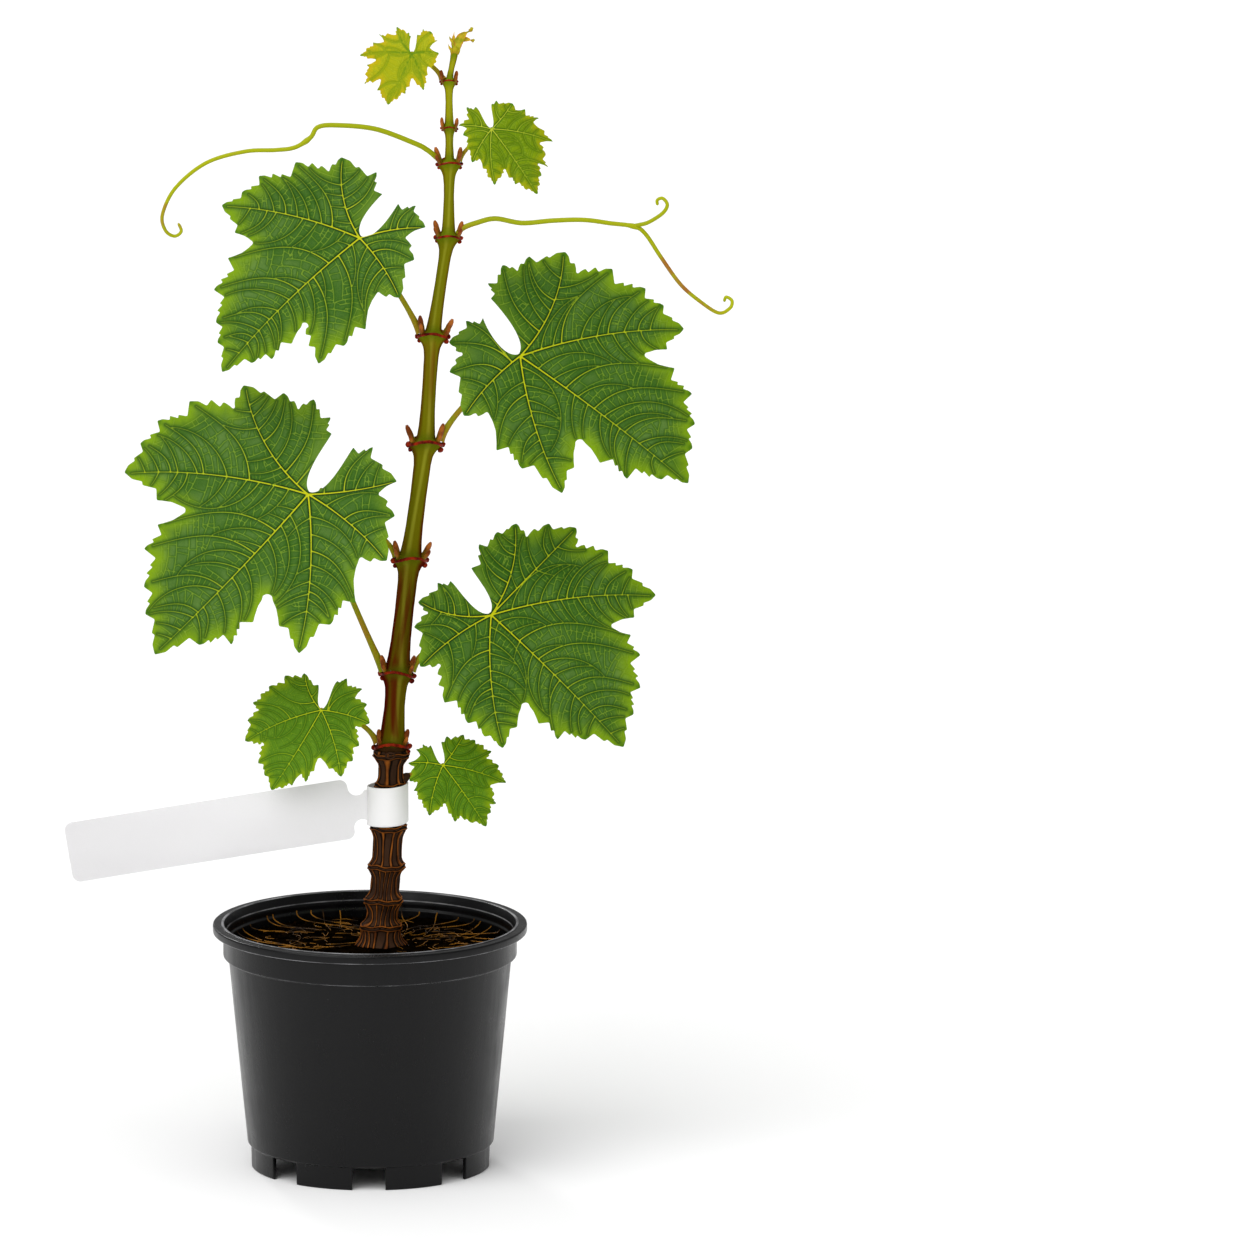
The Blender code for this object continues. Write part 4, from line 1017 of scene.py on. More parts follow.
# %% Leaf tables
LOBE, NOTCH, TOOTH = "lobe", "notch", "tooth"
LEAVES = {
    "leaf_low_left": {
        "joint": "first", "side": -1, "hub": (-31, -26, 363.3), "midrib": 226, "slope": (0.34, -0.30),
        "stalk": 1.5,
        LOBE: ((-105, 66), (-53, 97), (0, 115), (41, 82), (94, 53), (142, 46)),
        NOTCH: ((-129, 45), (-95, 60), (-39, 65), (22, 56), (84, 43), (134, 37)),
        TOOTH: (
            (-157, 33), (-152, 41), (-139, 49), (-122, 54), (-84, 79), (-72, 88), (-63, 92), (-44, 79),
            (-35, 80), (-28, 90), (-17, 98), (-10, 105), (8, 96), (17, 87), (54, 68), (68, 61), (120, 46),
            (170, 41), (180, 33),
        ),
    },
    "leaf_low_right": {
        "joint": "first", "side": 1, "hub": (64, -8, 295.7), "midrib": 315, "slope": (-0.34, -0.24),
        "stalk": 1.5,
        LOBE: ((-145, 38), (-99, 45), (-40, 69), (0, 97), (52, 86), (91, 63), (120, 49)),
        NOTCH: ((-137, 33), (-91, 37), (-24, 49), (40, 63), (84, 57), (111, 45)),
        TOOTH: (
            (-175, 27), (-166, 32), (-126, 40), (-73, 51), (-57, 57), (-17, 73), (-8, 81), (10, 90),
            (19, 86), (30, 80), (37, 73), (44, 74), (63, 77), (74, 69), (103, 56), (131, 43), (145, 37),
            (158, 26),
        ),
    },
    "leaf_mid_right": {
        "joint": "third", "side": 1, "hub": (79.2, 4, 430.9), "midrib": 323, "slope": (-0.30, -0.30),
        "stalk": 1.5,
        LOBE: ((-154, 37), (-96, 42), (-36, 74), (0, 109), (47, 86), (104, 59)),
        NOTCH: ((-145, 30), (-83, 34), (-18, 53), (38, 65), (93, 53), (129, 45)),
        TOOTH: (
            (-189, 27), (-176, 33), (-130, 37), (-67, 50), (-52, 58), (-12, 84), (-4, 97), (9, 101),
            (16, 97), (25, 91), (33, 80), (40, 76), (57, 79), (66, 74), (81, 66), (122, 52), (138, 48),
            (151, 41), (154, 33),
        ),
    },
    "leaf_mid_left": {
        "joint": "fourth", "side": -1, "hub": (-3.8, -20, 497.5), "midrib": 224, "slope": (0.30, -0.34),
        "stalk": 1.4,
        LOBE: ((-121, 43), (-58, 74), (0, 99), (28, 68), (80, 37), (145, 34)),
        NOTCH: ((-109, 39), (-42, 56), (14, 52), (65, 30), (136, 24)),
        TOOTH: (
            (-161, 25), (-148, 35), (-94, 52), (-76, 62), (-66, 66), (-47, 65), (-36, 69), (-25, 80),
            (-14, 86), (-8, 91), (5, 85), (10, 77), (38, 56), (50, 47), (114, 30), (166, 33), (178, 26),
        ),
    },
    "leaf_top_right": {
        "joint": "sixth", "side": 1, "hub": (64.7, -8, 552.9), "midrib": 305, "slope": (-0.38, -0.30),
        "stalk": 1.0,
        LOBE: ((-130, 17), (-65, 20), (-32, 29), (0, 41), (44, 32), (107, 17)),
        NOTCH: ((-148, 13), (-125, 13), (-57, 17), (-18, 22), (18, 30), (39, 26), (65, 22), (95, 16)),
        TOOTH: (
            (-179, 14), (-166, 17), (-112, 15), (-12, 31), (12, 35), (21, 35), (69, 25), (87, 20),
            (136, 15), (145, 13),
        ),
    },
    "leaf_top_left": {
        "joint": "eighth", "side": -1, "hub": (23.2, -3, 591.7), "midrib": 245, "slope": (0.38, -0.20),
        "stalk": 1.2, "vein_angles": (36, 50),
        LOBE: ((-126, 16), (-64, 27), (0, 29), (43, 20), (116, 14), (163, 15)),
        NOTCH: ((-116, 13), (-89, 16), (-56, 19), (-26, 21), (26, 13), (75, 11), (132, 10)),
        TOOTH: (
            (-152, 9), (-148, 11), (-96, 20), (-82, 21), (-52, 24), (-33, 29), (-19, 26), (16, 21),
            (78, 14), (141, 15), (180, 14), (189, 10),
        ),
    },
    "leaf_base_left": {
        "joint": "base", "side": -1, "hub": (-24.8, -18, 247.1), "midrib": 238, "slope": (0.34, -0.26),
        "stalk": 1.3,
        LOBE: ((-123, 21), (-36, 43), (0, 49), (20, 38), (49, 36), (107, 26), (173, 21)),
        NOTCH: ((-116, 20), (-94, 24), (-58, 33), (-28, 35), (15, 35), (30, 25), (96, 20), (141, 19)),
        TOOTH: (
            (-141, 13), (-101, 26), (-82, 30), (-64, 36), (-50, 39), (-18, 43), (-9, 45), (11, 42),
            (64, 31), (79, 27), (129, 24), (149, 24), (183, 17),
        ),
    },
    "leaf_base_right": {
        "root": (18.2, 0.0, 207.6), "rise": (0.9, 0.3, 0.3), "side": 1, "hub": (38.7, -16, 217.3),
        "midrib": 305, "slope": (-0.36, -0.22), "stalk": 1.1,
        LOBE: ((-129, 18), (-50, 27), (-23, 30), (0, 39), (39, 34), (111, 19)),
        NOTCH: (
            (-148, 13), (-122, 15), (-92, 16), (-33, 20), (-16, 28), (15, 32), (31, 27), (64, 23),
            (128, 14),
        ),
        TOOTH: (
            (-183, 12), (-171, 15), (-155, 16), (-100, 19), (-84, 20), (10, 35), (19, 34), (54, 29),
            (71, 26), (93, 21), (138, 15), (149, 12),
        ),
    },
}
for leaf in LEAVES.values():
    edge = [(kind, *mark) for kind in (LOBE, NOTCH, TOOTH) for mark in leaf[kind]]
    leaf["edge"] = sorted(edge, key=lambda mark: mark[1])
# The leaf on the far side of the shoot has the form of leaf_base_left, a little smaller.
BACK_LEAF = {
    "joint": "second", "side": -1, "hub": (-20, 30, 343), "midrib": 285, "slope": (0.10, -0.25),
    "stalk": 1.2, "like": "leaf_base_left", "scale": 0.86, "turn": math.radians(215),
}
print("leaf tables:", len(LEAVES), "and one behind the shoot")

# %% [markdown]
# ### Outline of a blade
#
# Between two marks of the table the edge climbs in large teeth, each with a long and a steep side.
# The long side carries small teeth. A notch ends in an arc, and every corner is eased a little.

# %% Cut the teeth of a blade
LARGE_TEETH = 0.15  # spacing of the large teeth, as a share of the midrib


def polar(midrib, bearing, length):
    """The place of a mark on the flat blade, seen from the stalk's end."""
    angle = math.radians(midrib + bearing)
    return Vector((length * math.cos(angle), length * math.sin(angle)))


def turned(vector, degrees):
    """The flat vector turned to the left."""
    angle = math.radians(degrees)
    return Vector((
        vector.x * math.cos(angle) - vector.y * math.sin(angle),
        vector.x * math.sin(angle) + vector.y * math.cos(angle),
    ))


# The long side of a large tooth, as shares along it and how far each point stands out.
FLANKS = {
    "plain": ((0.5, 0.09),),
    "one": ((0.2, 0.06), (0.41, 0.12), (0.49, -0.05), (0.76, 0.04)),
    "two": ((0.12, 0.05), (0.25, 0.10), (0.31, -0.02), (0.53, 0.11), (0.60, -0.04), (0.8, 0.03)),
    "tip": ((0.2, 0.05), (0.37, 0.09), (0.44, 0.0), (0.7, 0.07)),
    "notch": ((0.25, -0.08), (0.5, -0.10), (0.8, -0.05)),
}


def toothed(start, end, start_kind, end_kind, size):
    """Points after start up to end: large teeth by the rule of the solid, with small ones on them."""
    run = (end - start).length
    climbs = end.length > start.length if NOTCH not in (start_kind, end_kind) else start_kind == NOTCH
    base, tip = (start, end) if climbs else (end, start)
    base_kind, tip_kind = (start_kind, end_kind) if climbs else (end_kind, start_kind)
    outward = Vector(((end - start).y, -(end - start).x)).normalized()
    teeth = max(1, round(run / (size * LARGE_TEETH)))
    steep = tip.length - base.length > 0.86 * run or base.length < 0.71 * tip.length
    bulge = 0.3 if base_kind == NOTCH else 0.1
    crests = [
        base.lerp(tip, i / teeth) + outward * run * bulge * (i / teeth) * (1 - i / teeth)
        for i in range(teeth + 1)
    ]
    points = []
    for i, (low, high) in enumerate(zip(crests, crests[1:])):
        step = (high - low).length
        kind = ("plain", "one", "two")[(step > 2.5 + 0.04 * size) + (step > 4.5 + 0.1 * size)]
        if i == 0 and base_kind == NOTCH:
            kind = "notch" if steep else kind
        elif i == teeth - 1 and tip_kind == LOBE:
            kind = "tip"
            low = low.lerp(high, 0.18) - outward * step * 0.2
            points.append(low)
        else:
            low = low.lerp(high, 0.25) - outward * step * 0.32
            points.append(low)
        flank = (high - low).length
        points.extend(low.lerp(high, share) + outward * flank * rise for share, rise in FLANKS[kind])
        points.append(high)
    if climbs:
        return points
    return [points[i] for i in range(len(points) - 2, -1, -1)] + [end]


def hollow(before, notch, after, radius):
    """The round end of a notch: an arc that nears a half circle where the notch is narrow."""
    back, ahead = (before - notch).normalized(), (after - notch).normalized()
    middle = (back + ahead).normalized()
    swing = math.pi / 2 - back.angle(ahead) / 2
    side = -math.copysign(1, back.x * middle.y - back.y * middle.x)
    centre = notch + middle * radius
    turns = [math.degrees(swing * share * side) for share in (-1, -0.6, -0.2, 0.2, 0.6, 1)]
    return [centre - turned(middle, turn) * radius for turn in turns]


def rounded(line, radius):
    """The closed line with every corner cut to a small bend."""
    found = []
    for before, point, after in zip(line[-1:] + line[:-1], line, line[1:] + line[:1]):
        back, ahead = before - point, after - point
        cut = min(radius, 0.35 * back.length, 0.35 * ahead.length)
        start, end = point + back.normalized() * cut, point + ahead.normalized() * cut
        found.extend((start, (start + end + point * 2) / 4, end))
    return found


def leaf_outline(leaf, size):
    """The blade's edge, anticlockwise, with the open sinus round the stalk's end."""
    edge = []
    for kind, bearing, length in leaf["edge"]:
        edge.append((kind, polar(leaf["midrib"], bearing, length + 0.008 * size * (kind != NOTCH))))
    first, last = edge[0][1], edge[-1][1]
    axis = (first.normalized() + last.normalized()).normalized()
    across = Vector((-axis.y, axis.x)) * size * 0.062
    foot = axis * size * 0.012

    def sinus(shoulder):
        """One side of the gap at the stalk's end, out to where the first lobe starts."""
        side = math.copysign(1, across.dot(shoulder))
        curve = interpolate_bezier(
            foot.to_3d(),
            (foot + axis * size * 0.025 + across * side * 1.25).to_3d(),
            (foot + axis * axis.dot(shoulder) * 0.8 + across * side * 0.85).to_3d(),
            shoulder.to_3d(),
            16,
        )
        return [point.to_2d() for point in curve[1:-1]]

    outline = [foot] + sinus(first) + [first]
    notches = []
    for (kind, start), (next_kind, end), (_, after) in zip(edge, edge[1:], edge[2:] + edge[:1]):
        outline.extend(toothed(start, end, kind, next_kind, size))
        if next_kind == NOTCH:
            depth = min(start.length, after.length) - end.length
            notches.append((len(outline) - 1, end, min(0.03 * size, 0.12 * depth)))
    outline.extend(reversed(sinus(last)))
    for at, notch, radius in reversed(notches):
        outline[at:at + 1] = hollow(outline[at - 1], notch, outline[at + 1], radius)
    return rounded(outline, 0.3 + 0.004 * size)


def divided(line, pitch, closed=False):
    """The same line with points no further apart than the pitch."""
    pairs = zip(line, line[1:] + line[:1]) if closed else zip(line, line[1:])
    found = []
    for start, end in pairs:
        steps = max(1, math.ceil((end - start).length / pitch))
        found.extend(start.lerp(end, i / steps) for i in range(steps))
    return found if closed else found + [line[-1]]


SAMPLE, SAMPLE_SIZE, SAMPLE_PITCH = LEAVES["leaf_low_left"], 115, 2.0
sample_edge = divided(leaf_outline(SAMPLE, SAMPLE_SIZE), SAMPLE_PITCH, closed=True)
print("leaf_low_left, points round it:", len(sample_edge))

# %% [markdown]
# ### Main veins
#
# Main veins run from the stalk's end to the lobe tips, each in the bow that keeps it clearest of the
# notches. With its route, each vein keeps its half width at both ends and how faint it is there,
# from 0 for bright yellow to 1.

# %% Draw the main veins
VEIN_BOWS = (0.06, 0.03, 0.0, -0.04, -0.08, -0.12)


def bezier(start, first, second, end, pitch):
    """A flat curve with points about one pitch apart."""
    steps = max(4, math.ceil((end - start).length / pitch)) + 1
    curve = interpolate_bezier(start.to_3d(), first.to_3d(), second.to_3d(), end.to_3d(), steps)
    return [point.to_2d() for point in curve]


def lookup(points):
    """A tree that finds the nearest of the points."""
    tree = KDTree(len(points))
    for i, point in enumerate(points):
        tree.insert((point.x, point.y, 0), i)
    tree.balance()
    return tree


def main_veins(leaf, size, pitch, rim):
    """The vein of each lobe, by the lobe's bearing."""
    hub = Vector((0, 0))
    veins = {}
    for kind, bearing, length in leaf["edge"]:
        if kind != LOBE or 0 < abs(bearing) < 30 or abs(bearing) > 150:
            continue
        end = polar(leaf["midrib"], bearing, length * 0.97)
        side = math.copysign(1, bearing) if bearing else 0.3
        best = None
        for bow in VEIN_BOWS:
            aside = Vector((-end.y, end.x)) * bow * side
            route = bezier(hub, end * 0.33 + aside, end * 0.7 + aside, end, pitch)
            room = min(rim.find((point.x, point.y, 0))[2] for point in route[6:-6])
            if best is None or room > best[0] + 0.2:
                best = (room, route)
            if room > 0.02 * size + 0.4:
                break
        veins[bearing] = (best[1], 0.07 + 0.0026 * size, 0.08, 0.0, min(1.0, 0.9 * length / size))
    return veins


sample_mains = main_veins(SAMPLE, SAMPLE_SIZE, SAMPLE_PITCH, lookup(sample_edge))
print("its main veins:", len(sample_mains))

# %% [markdown]
# ### Branches
#
# A branch goes to every large tooth and small lobe. It springs from the main vein between the same
# two notches, or else from the nearest one. It leaves at a wide angle and bends to the tooth.

# %% Draw the branches
def branch_veins(leaf, size, pitch, mains):
    """A vein for each mark of the edge that is no notch and has no main vein."""
    groups = [[]]
    for kind, bearing, length in leaf["edge"]:
        if kind == NOTCH:
            groups.append([])
        else:
            groups[-1].append((kind, bearing, length))
    veins = []
    for group in groups:
        own = [bearing for _, bearing, _ in group if bearing in mains]
        for kind, bearing, length in group:
            if bearing in own:
                continue
            near = own[0] if own else min(mains, key=lambda other: abs(other - bearing))
            route = mains[near][0]
            tip = polar(leaf["midrib"], bearing, length * 0.955)
            axis = route[-1].normalized()
            ahead, aside = tip.dot(axis), abs(tip.x * axis.y - tip.y * axis.x)
            reach = max(0.13 * route[-1].length, min(ahead - 0.85 * aside, 0.9 * route[-1].length))
            at = min(range(1, len(route) - 1), key=lambda i: abs(route[i].length - reach))
            start = route[at]
            heading = (route[at + 1] - route[at - 1]).normalized()
            line = tip - start
            side = math.copysign(1, heading.x * line.y - heading.y * line.x)
            angle = math.degrees(heading.angle(line))
            first = turned(heading, side * min(84, angle + 34))
            last = turned(heading, side * max(8, angle - 20))
            gap = line.length
            branch = bezier(start, start + first * gap * 0.4, tip - last * gap * 0.42, tip, pitch)
            half = (0.08 + 0.0014 * size) * (1.25 if kind == LOBE else 1.0)
            faint = min(1, 0.25 + 0.6 * (start.length / size))
            veins.append((branch, half, 0.09, faint, 0.95))
    return veins


print("its branches:", len(branch_veins(SAMPLE, SAMPLE_SIZE, SAMPLE_PITCH, sample_mains)))

# %% [markdown]
# ### Fine veins
#
# Thin side veins fill the stretches between the branches, almost square to the main vein, or flatter
# on the youngest leaf. Cross veins then make a ladder: each starts beside a vein, bends towards the
# leaf's edge, and stops where it meets another vein. So the net grows like the real one, and it fits
# any outline.

# %% Grow the fine veins
SIDE_VEIN_ANGLES = (66, 80)


def sprout(sources, lines, rim, pitch, spacing, longest, angles, bend, apart=0.0, landing=False, clear=0.0):
    """Fine veins that leave both sides of the sources, bend, and stop at the first line they meet."""
    owners, points = [], []
    for number, line in enumerate(lines):
        owners.extend([number] * len(line))
        points.extend(line)
    tree = lookup(points)
    taken, found = {}, []
    cell = max(pitch, 0.6 * apart)
    around = [(i, j) for i in (-1, 0, 1) for j in (-1, 0, 1)] if apart else [(0, 0)]
    luck = random.Random(5)
    for number in sources:
        line = lines[number]
        stride = spacing / pitch
        for side in (-1, 1):
            place_at = stride * luck.uniform(0.3, 0.9)
            while place_at < len(line) - 2:
                i = int(place_at)
                place_at += stride * luck.uniform(0.75, 1.25)
                ahead = (line[i + 1] - line[max(i - 1, 0)]).normalized()
                heading = turned(ahead, side * luck.uniform(*angles))
                turn = -side * luck.uniform(*bend) * pitch
                spot = line[i].copy()
                path = [spot.copy()]
                ended = "free"
                for step in range(int(longest / pitch)):
                    heading = turned(heading, turn)
                    spot = spot + heading * pitch
                    _, near, away = tree.find((spot.x, spot.y, 0))
                    if away < 0.9 * pitch and owners[near] != number and step > 1:
                        path.append(points[near].copy())
                        ended = "landed"
                        break
                    if (step > 4 and away < 0.9 * pitch) or rim.find((spot.x, spot.y, 0))[2] < pitch + 0.5:
                        break
                    at = (round(spot.x / cell), round(spot.y / cell))
                    met = [taken[at[0] + i, at[1] + j] for i, j in around if (at[0] + i, at[1] + j) in taken]
                    if step > 1 and met:
                        path.append(met[0])
                        ended = "crossed"
                        break
                    path.append(spot.copy())
                close = tree.find_n((*path[min(5, len(path) - 1)], 0), 24)
                others = [away for _, near, away in close if owners[near] != number]
                if others and others[0] < clear:
                    continue
                if ended == "crossed" and len(path) * pitch < spacing:
                    continue
                if len(path) > 3 and (ended == "landed" or not landing):
                    for point in path:
                        taken[round(point.x / cell), round(point.y / cell)] = point
                    found.append(path)
    return found


def side_veins(veins, rim, size, pitch, angles):
    """Thin side veins that fill the stretches of the main veins where no tooth asked for one."""
    mains = [number for number, vein in enumerate(veins) if vein[3] == 0.0]  # only these start at 0
    routes = [route for route, *_ in veins]
    spacing, bend = 0.05 * size + 2.6, (150 / size, 240 / size)
    found = sprout(mains, routes, rim, pitch, spacing, 0.5 * size, angles, bend, clear=0.4 * spacing)
    pale = 0.6 + 0.55 * max(0.0, 1 - size / 100)
    facts = (0.06 + 0.0013 * size, 0.07, pale, pale + 0.4)
    return [(path, *facts) for path in found if len(path) * pitch > 0.07 * size]


def cross_veins(veins, rim, size, pitch):
    """First the rungs between the veins, then short links from rung to rung."""
    routes = [route for route, *_ in veins]
    step = 0.014 * size + 1.6
    apart = 0.55 * step
    rungs = sprout(range(len(routes)), routes, rim, pitch, step, 0.2 * size, (76, 90), (0.6, 2.2), apart)
    lines = routes + rungs
    fine = range(len(routes), len(lines))
    links = sprout(fine, lines, rim, pitch, 2.6 * step, 0.07 * size, (80, 96), (-1, 1), apart, landing=True)
    return rungs, links


sample_lines = [route for route, *_ in sample_mains.values()]
sample_sides = side_veins(
    [*sample_mains.values()], lookup(sample_edge), SAMPLE_SIZE, SAMPLE_PITCH, SIDE_VEIN_ANGLES,
)
print("its side veins:", len(sample_sides))

# %% [markdown]
# ### Flat blade
#
# The outline and every vein become fixed edges of one flat triangulation, so the mesh has a crease
# to follow along each vein. A vein that would leave the blade is cut off first.

# %% Fill the outline with triangles
def gap_to_lines(points, lines):
    """Distance from each point to the nearest line, the line's number, and the place along it."""
    line_points = [point for line in lines for point in line]
    owner = np.array([number for number, line in enumerate(lines) for _ in line])
    share = np.array([i / max(1, len(line) - 1) for line in lines for i in range(len(line))])
    flat = np.array(line_points)
    tree = lookup(line_points)
    found = [tree.find((x, y, 0)) for x, y in points]
    near = np.array([hit[1] for hit in found])
    best = np.array([hit[2] for hit in found])
    for step in (-1, 1):
        other = np.clip(near + step, 0, len(flat) - 1)
        joined = (owner[other] == owner[near]) & (other != near)
        along = flat[other] - flat[near]
        length = np.maximum((along ** 2).sum(axis=1), 1e-9)
        part = np.clip(((points - flat[near]) * along).sum(axis=1) / length, 0, 1)
        gap = np.linalg.norm(points - flat[near] - along * part[:, None], axis=1)
        best = np.where(joined, np.minimum(best, gap), best)
    return best, owner[near], share[near]


def is_inside(points, outline):
    """Which points lie within the closed outline, by counting crossings."""
    edge = np.array(outline)
    inside = np.zeros(len(points), dtype=bool)
    for (x0, y0), (x1, y1) in zip(edge, np.roll(edge, -1, axis=0)):
        if y0 == y1:
            continue
        crosses = (y0 > points[:, 1]) != (y1 > points[:, 1])
        inside ^= crosses & (points[:, 0] < x0 + (points[:, 1] - y0) / (y1 - y0) * (x1 - x0))
    return inside


def distance_to(spots, points):
    """Distance from each point to the nearest spot."""
    tree = lookup(spots)
    return np.array([tree.find((x, y, 0))[2] for x, y in points])


def cut_off(veins, corners, rim, size, pitch):
    """The veins as far as they stay within the blade."""
    found = []
    for route, *facts in veins:
        kept = []
        for point, within in zip(route, is_inside(np.array(route), corners)):
            away = rim.find((point.x, point.y, 0))[2]
            if within and (away > 0.4 * pitch or point.length < 3):
                kept.append(point)
            elif point.length > 0.12 * size:
                break
        if len(kept) > 4:
            found.append((kept, *facts))
    return found


def flat_blade(corners, outline, lines, pitch):
    """Points and triangles of the flat blade, with the outline and all lines among its edges."""
    chance = np.random.default_rng(11)
    low, high = np.min(corners, axis=0), np.max(corners, axis=0)
    columns = np.arange(low[0], high[0], pitch)
    rows = np.arange(low[1], high[1], pitch * 0.87)
    grid = np.array([(x + 0.5 * pitch * (j % 2), y) for j, y in enumerate(rows) for x in columns])
    grid = grid + chance.uniform(-0.16, 0.16, grid.shape) * pitch
    grid = grid[is_inside(grid, corners)]
    drawn = [point for line in lines for point in line] + outline
    grid = grid[distance_to(drawn, grid) > 0.55 * pitch]

    points = list(outline)
    edges = [(i, (i + 1) % len(outline)) for i in range(len(outline))]
    for line in lines:
        first = len(points)
        points.extend(line)
        edges.extend((first + i, first + i + 1) for i in range(len(line) - 1))
    points.extend(Vector(point) for point in grid.tolist())
    flat, _, faces, _, _, _ = delaunay_2d_cdt(points, edges, [], 1, 0.002)
    used = sorted({i for face in faces for i in face})
    index = {old: new for new, old in enumerate(used)}
    return np.array([flat[i] for i in used]), [tuple(index[i] for i in face) for face in faces]


sample_blade = flat_blade(sample_edge, sample_edge, sample_lines, SAMPLE_PITCH)
print("coarse triangles round its main veins:", len(sample_blade[1]))

# %% [markdown]
# ### Blade in its place
#
# The flat blade is lifted by the solid's rule: tilted, domed and waved. Between the veins it swells
# like a quilt. A second sheet below closes it to a thin leaf. Each point keeps its distance to the
# veins, the cross veins and the edge, for the finish to use.

# %% Build a leaf blade
UNDER_GAP = 0.42
DOME = 0.16
WAVE = 0.035


def blade_height(leaf, a, b, size):
    """How far the blade stands towards the viewer, by the rule of the solid."""
    reach = np.hypot(a, b) / size
    wave = WAVE * size * reach * reach * np.sin(3 * np.arctan2(b, a) + leaf["midrib"])
    return leaf["slope"][0] * a + leaf["slope"][1] * b - DOME * size * reach * reach + wave


def leaf_frame(leaf):
    """The blade's hub and its three directions. The far leaf is turned round the upright."""
    turn = Matrix.Rotation(leaf.get("turn", 0.0), 3, "Z")
    return Vector(leaf["hub"]), turn @ RIGHT, turn @ UPWARD, turn @ TOWARD


def two_sided(faces, count):
    """The faces, the same again with the next points and turned over, and a rim between both."""
    sides = {(face[i], face[(i + 1) % len(face)]): True for face in faces for i in range(len(face))}
    found = [tuple(face) for face in faces]
    found += [tuple(i + count for i in reversed(face)) for face in faces]
    return found + [(i, i + count, j + count, j) for i, j in sides if (j, i) not in sides]


def leaf_mesh(name, leaf, finish):
    """A closed blade with all its veins, and on its points the distances for the finish."""
    size = max(length for _, _, length in leaf["edge"])
    pitch = 0.45 + 0.0017 * size
    corners = leaf_outline(leaf, size)
    outline = divided(corners, pitch, closed=True)
    rim = lookup(outline)
    mains = main_veins(leaf, size, pitch, rim)
    veins = [*mains.values(), *branch_veins(leaf, size, pitch, mains)]
    veins = cut_off(veins, corners, rim, size, pitch)
    veins += side_veins(veins, rim, size, pitch, leaf.get("vein_angles", SIDE_VEIN_ANGLES))
    rungs, links = cross_veins(veins, rim, size, pitch)
    routes = [route for route, *_ in veins]
    flat, faces = flat_blade(corners, outline, routes + rungs + links, pitch)

    gap, owner, along = gap_to_lines(flat, routes)
    facts = np.array([facts for _, *facts in veins])[owner]
    half = facts[:, 0] + (facts[:, 1] - facts[:, 0]) * along ** 0.6
    faint = facts[:, 2] + (facts[:, 3] - facts[:, 2]) * along
    rung_gap = np.minimum(gap_to_lines(flat, rungs)[0], gap_to_lines(flat, links)[0] + 0.08)
    rim_gap = gap_to_lines(flat, [outline + outline[:1]])[0]
    tips = [polar(leaf["midrib"], *mark) for kind, *mark in leaf["edge"] if kind != NOTCH]

    a, b = flat[:, 0], flat[:, 1]
    at_rim = np.clip(rim_gap / (0.04 * size), 0, 1)
    quilt = 1 - np.exp(-(gap / (0.035 * size)) ** 1.5)
    crease = 1 - np.exp(-(gap / 0.9) ** 2)
    ladder = 1 - np.exp(-(rung_gap / (0.009 * size)) ** 1.5)
    swell = (0.011 * size * quilt + 0.0036 * size * ladder + 0.34 * crease) * (0.35 + 0.65 * at_rim)
    ripple = 0.008 * size * np.sin(7 * np.arctan2(b, a)) * (np.hypot(a, b) / size) ** 2
    upper = blade_height(leaf, a, b, size) + 0.1 + swell + ripple
    cord = np.exp(-(gap / (half + 0.25)) ** 2) * half * 1.4
    lower = upper - UNDER_GAP * (0.45 + 0.55 * at_rim) - cord

    hub, right, upward, toward = leaf_frame(leaf)
    axes = np.array([right, upward, toward])
    top = np.array(hub) + np.stack([a, b, upper], axis=1) @ axes
    back = np.array(hub) + np.stack([a, b, lower], axis=1) @ axes
    kept = {
        "vein": gap - half, "faint": faint, "rung": rung_gap, "rim": rim_gap,
        "tip": distance_to(tips, flat), "hub": np.hypot(a, b) / size,
        "fork": distance_to([route[0] for route in routes], flat),
    }
    data = make_mesh(
        name, np.concatenate([top, back]), two_sided(faces, len(flat)), finish.material,
        **{key: np.tile(values, 2) for key, values in kept.items()},
        under=np.repeat([0.0, 1.0], len(flat)),
    )
    data.set_sharp_from_angle(angle=math.radians(55))
    return data


print("sheet of a leaf:", UNDER_GAP, "mm")
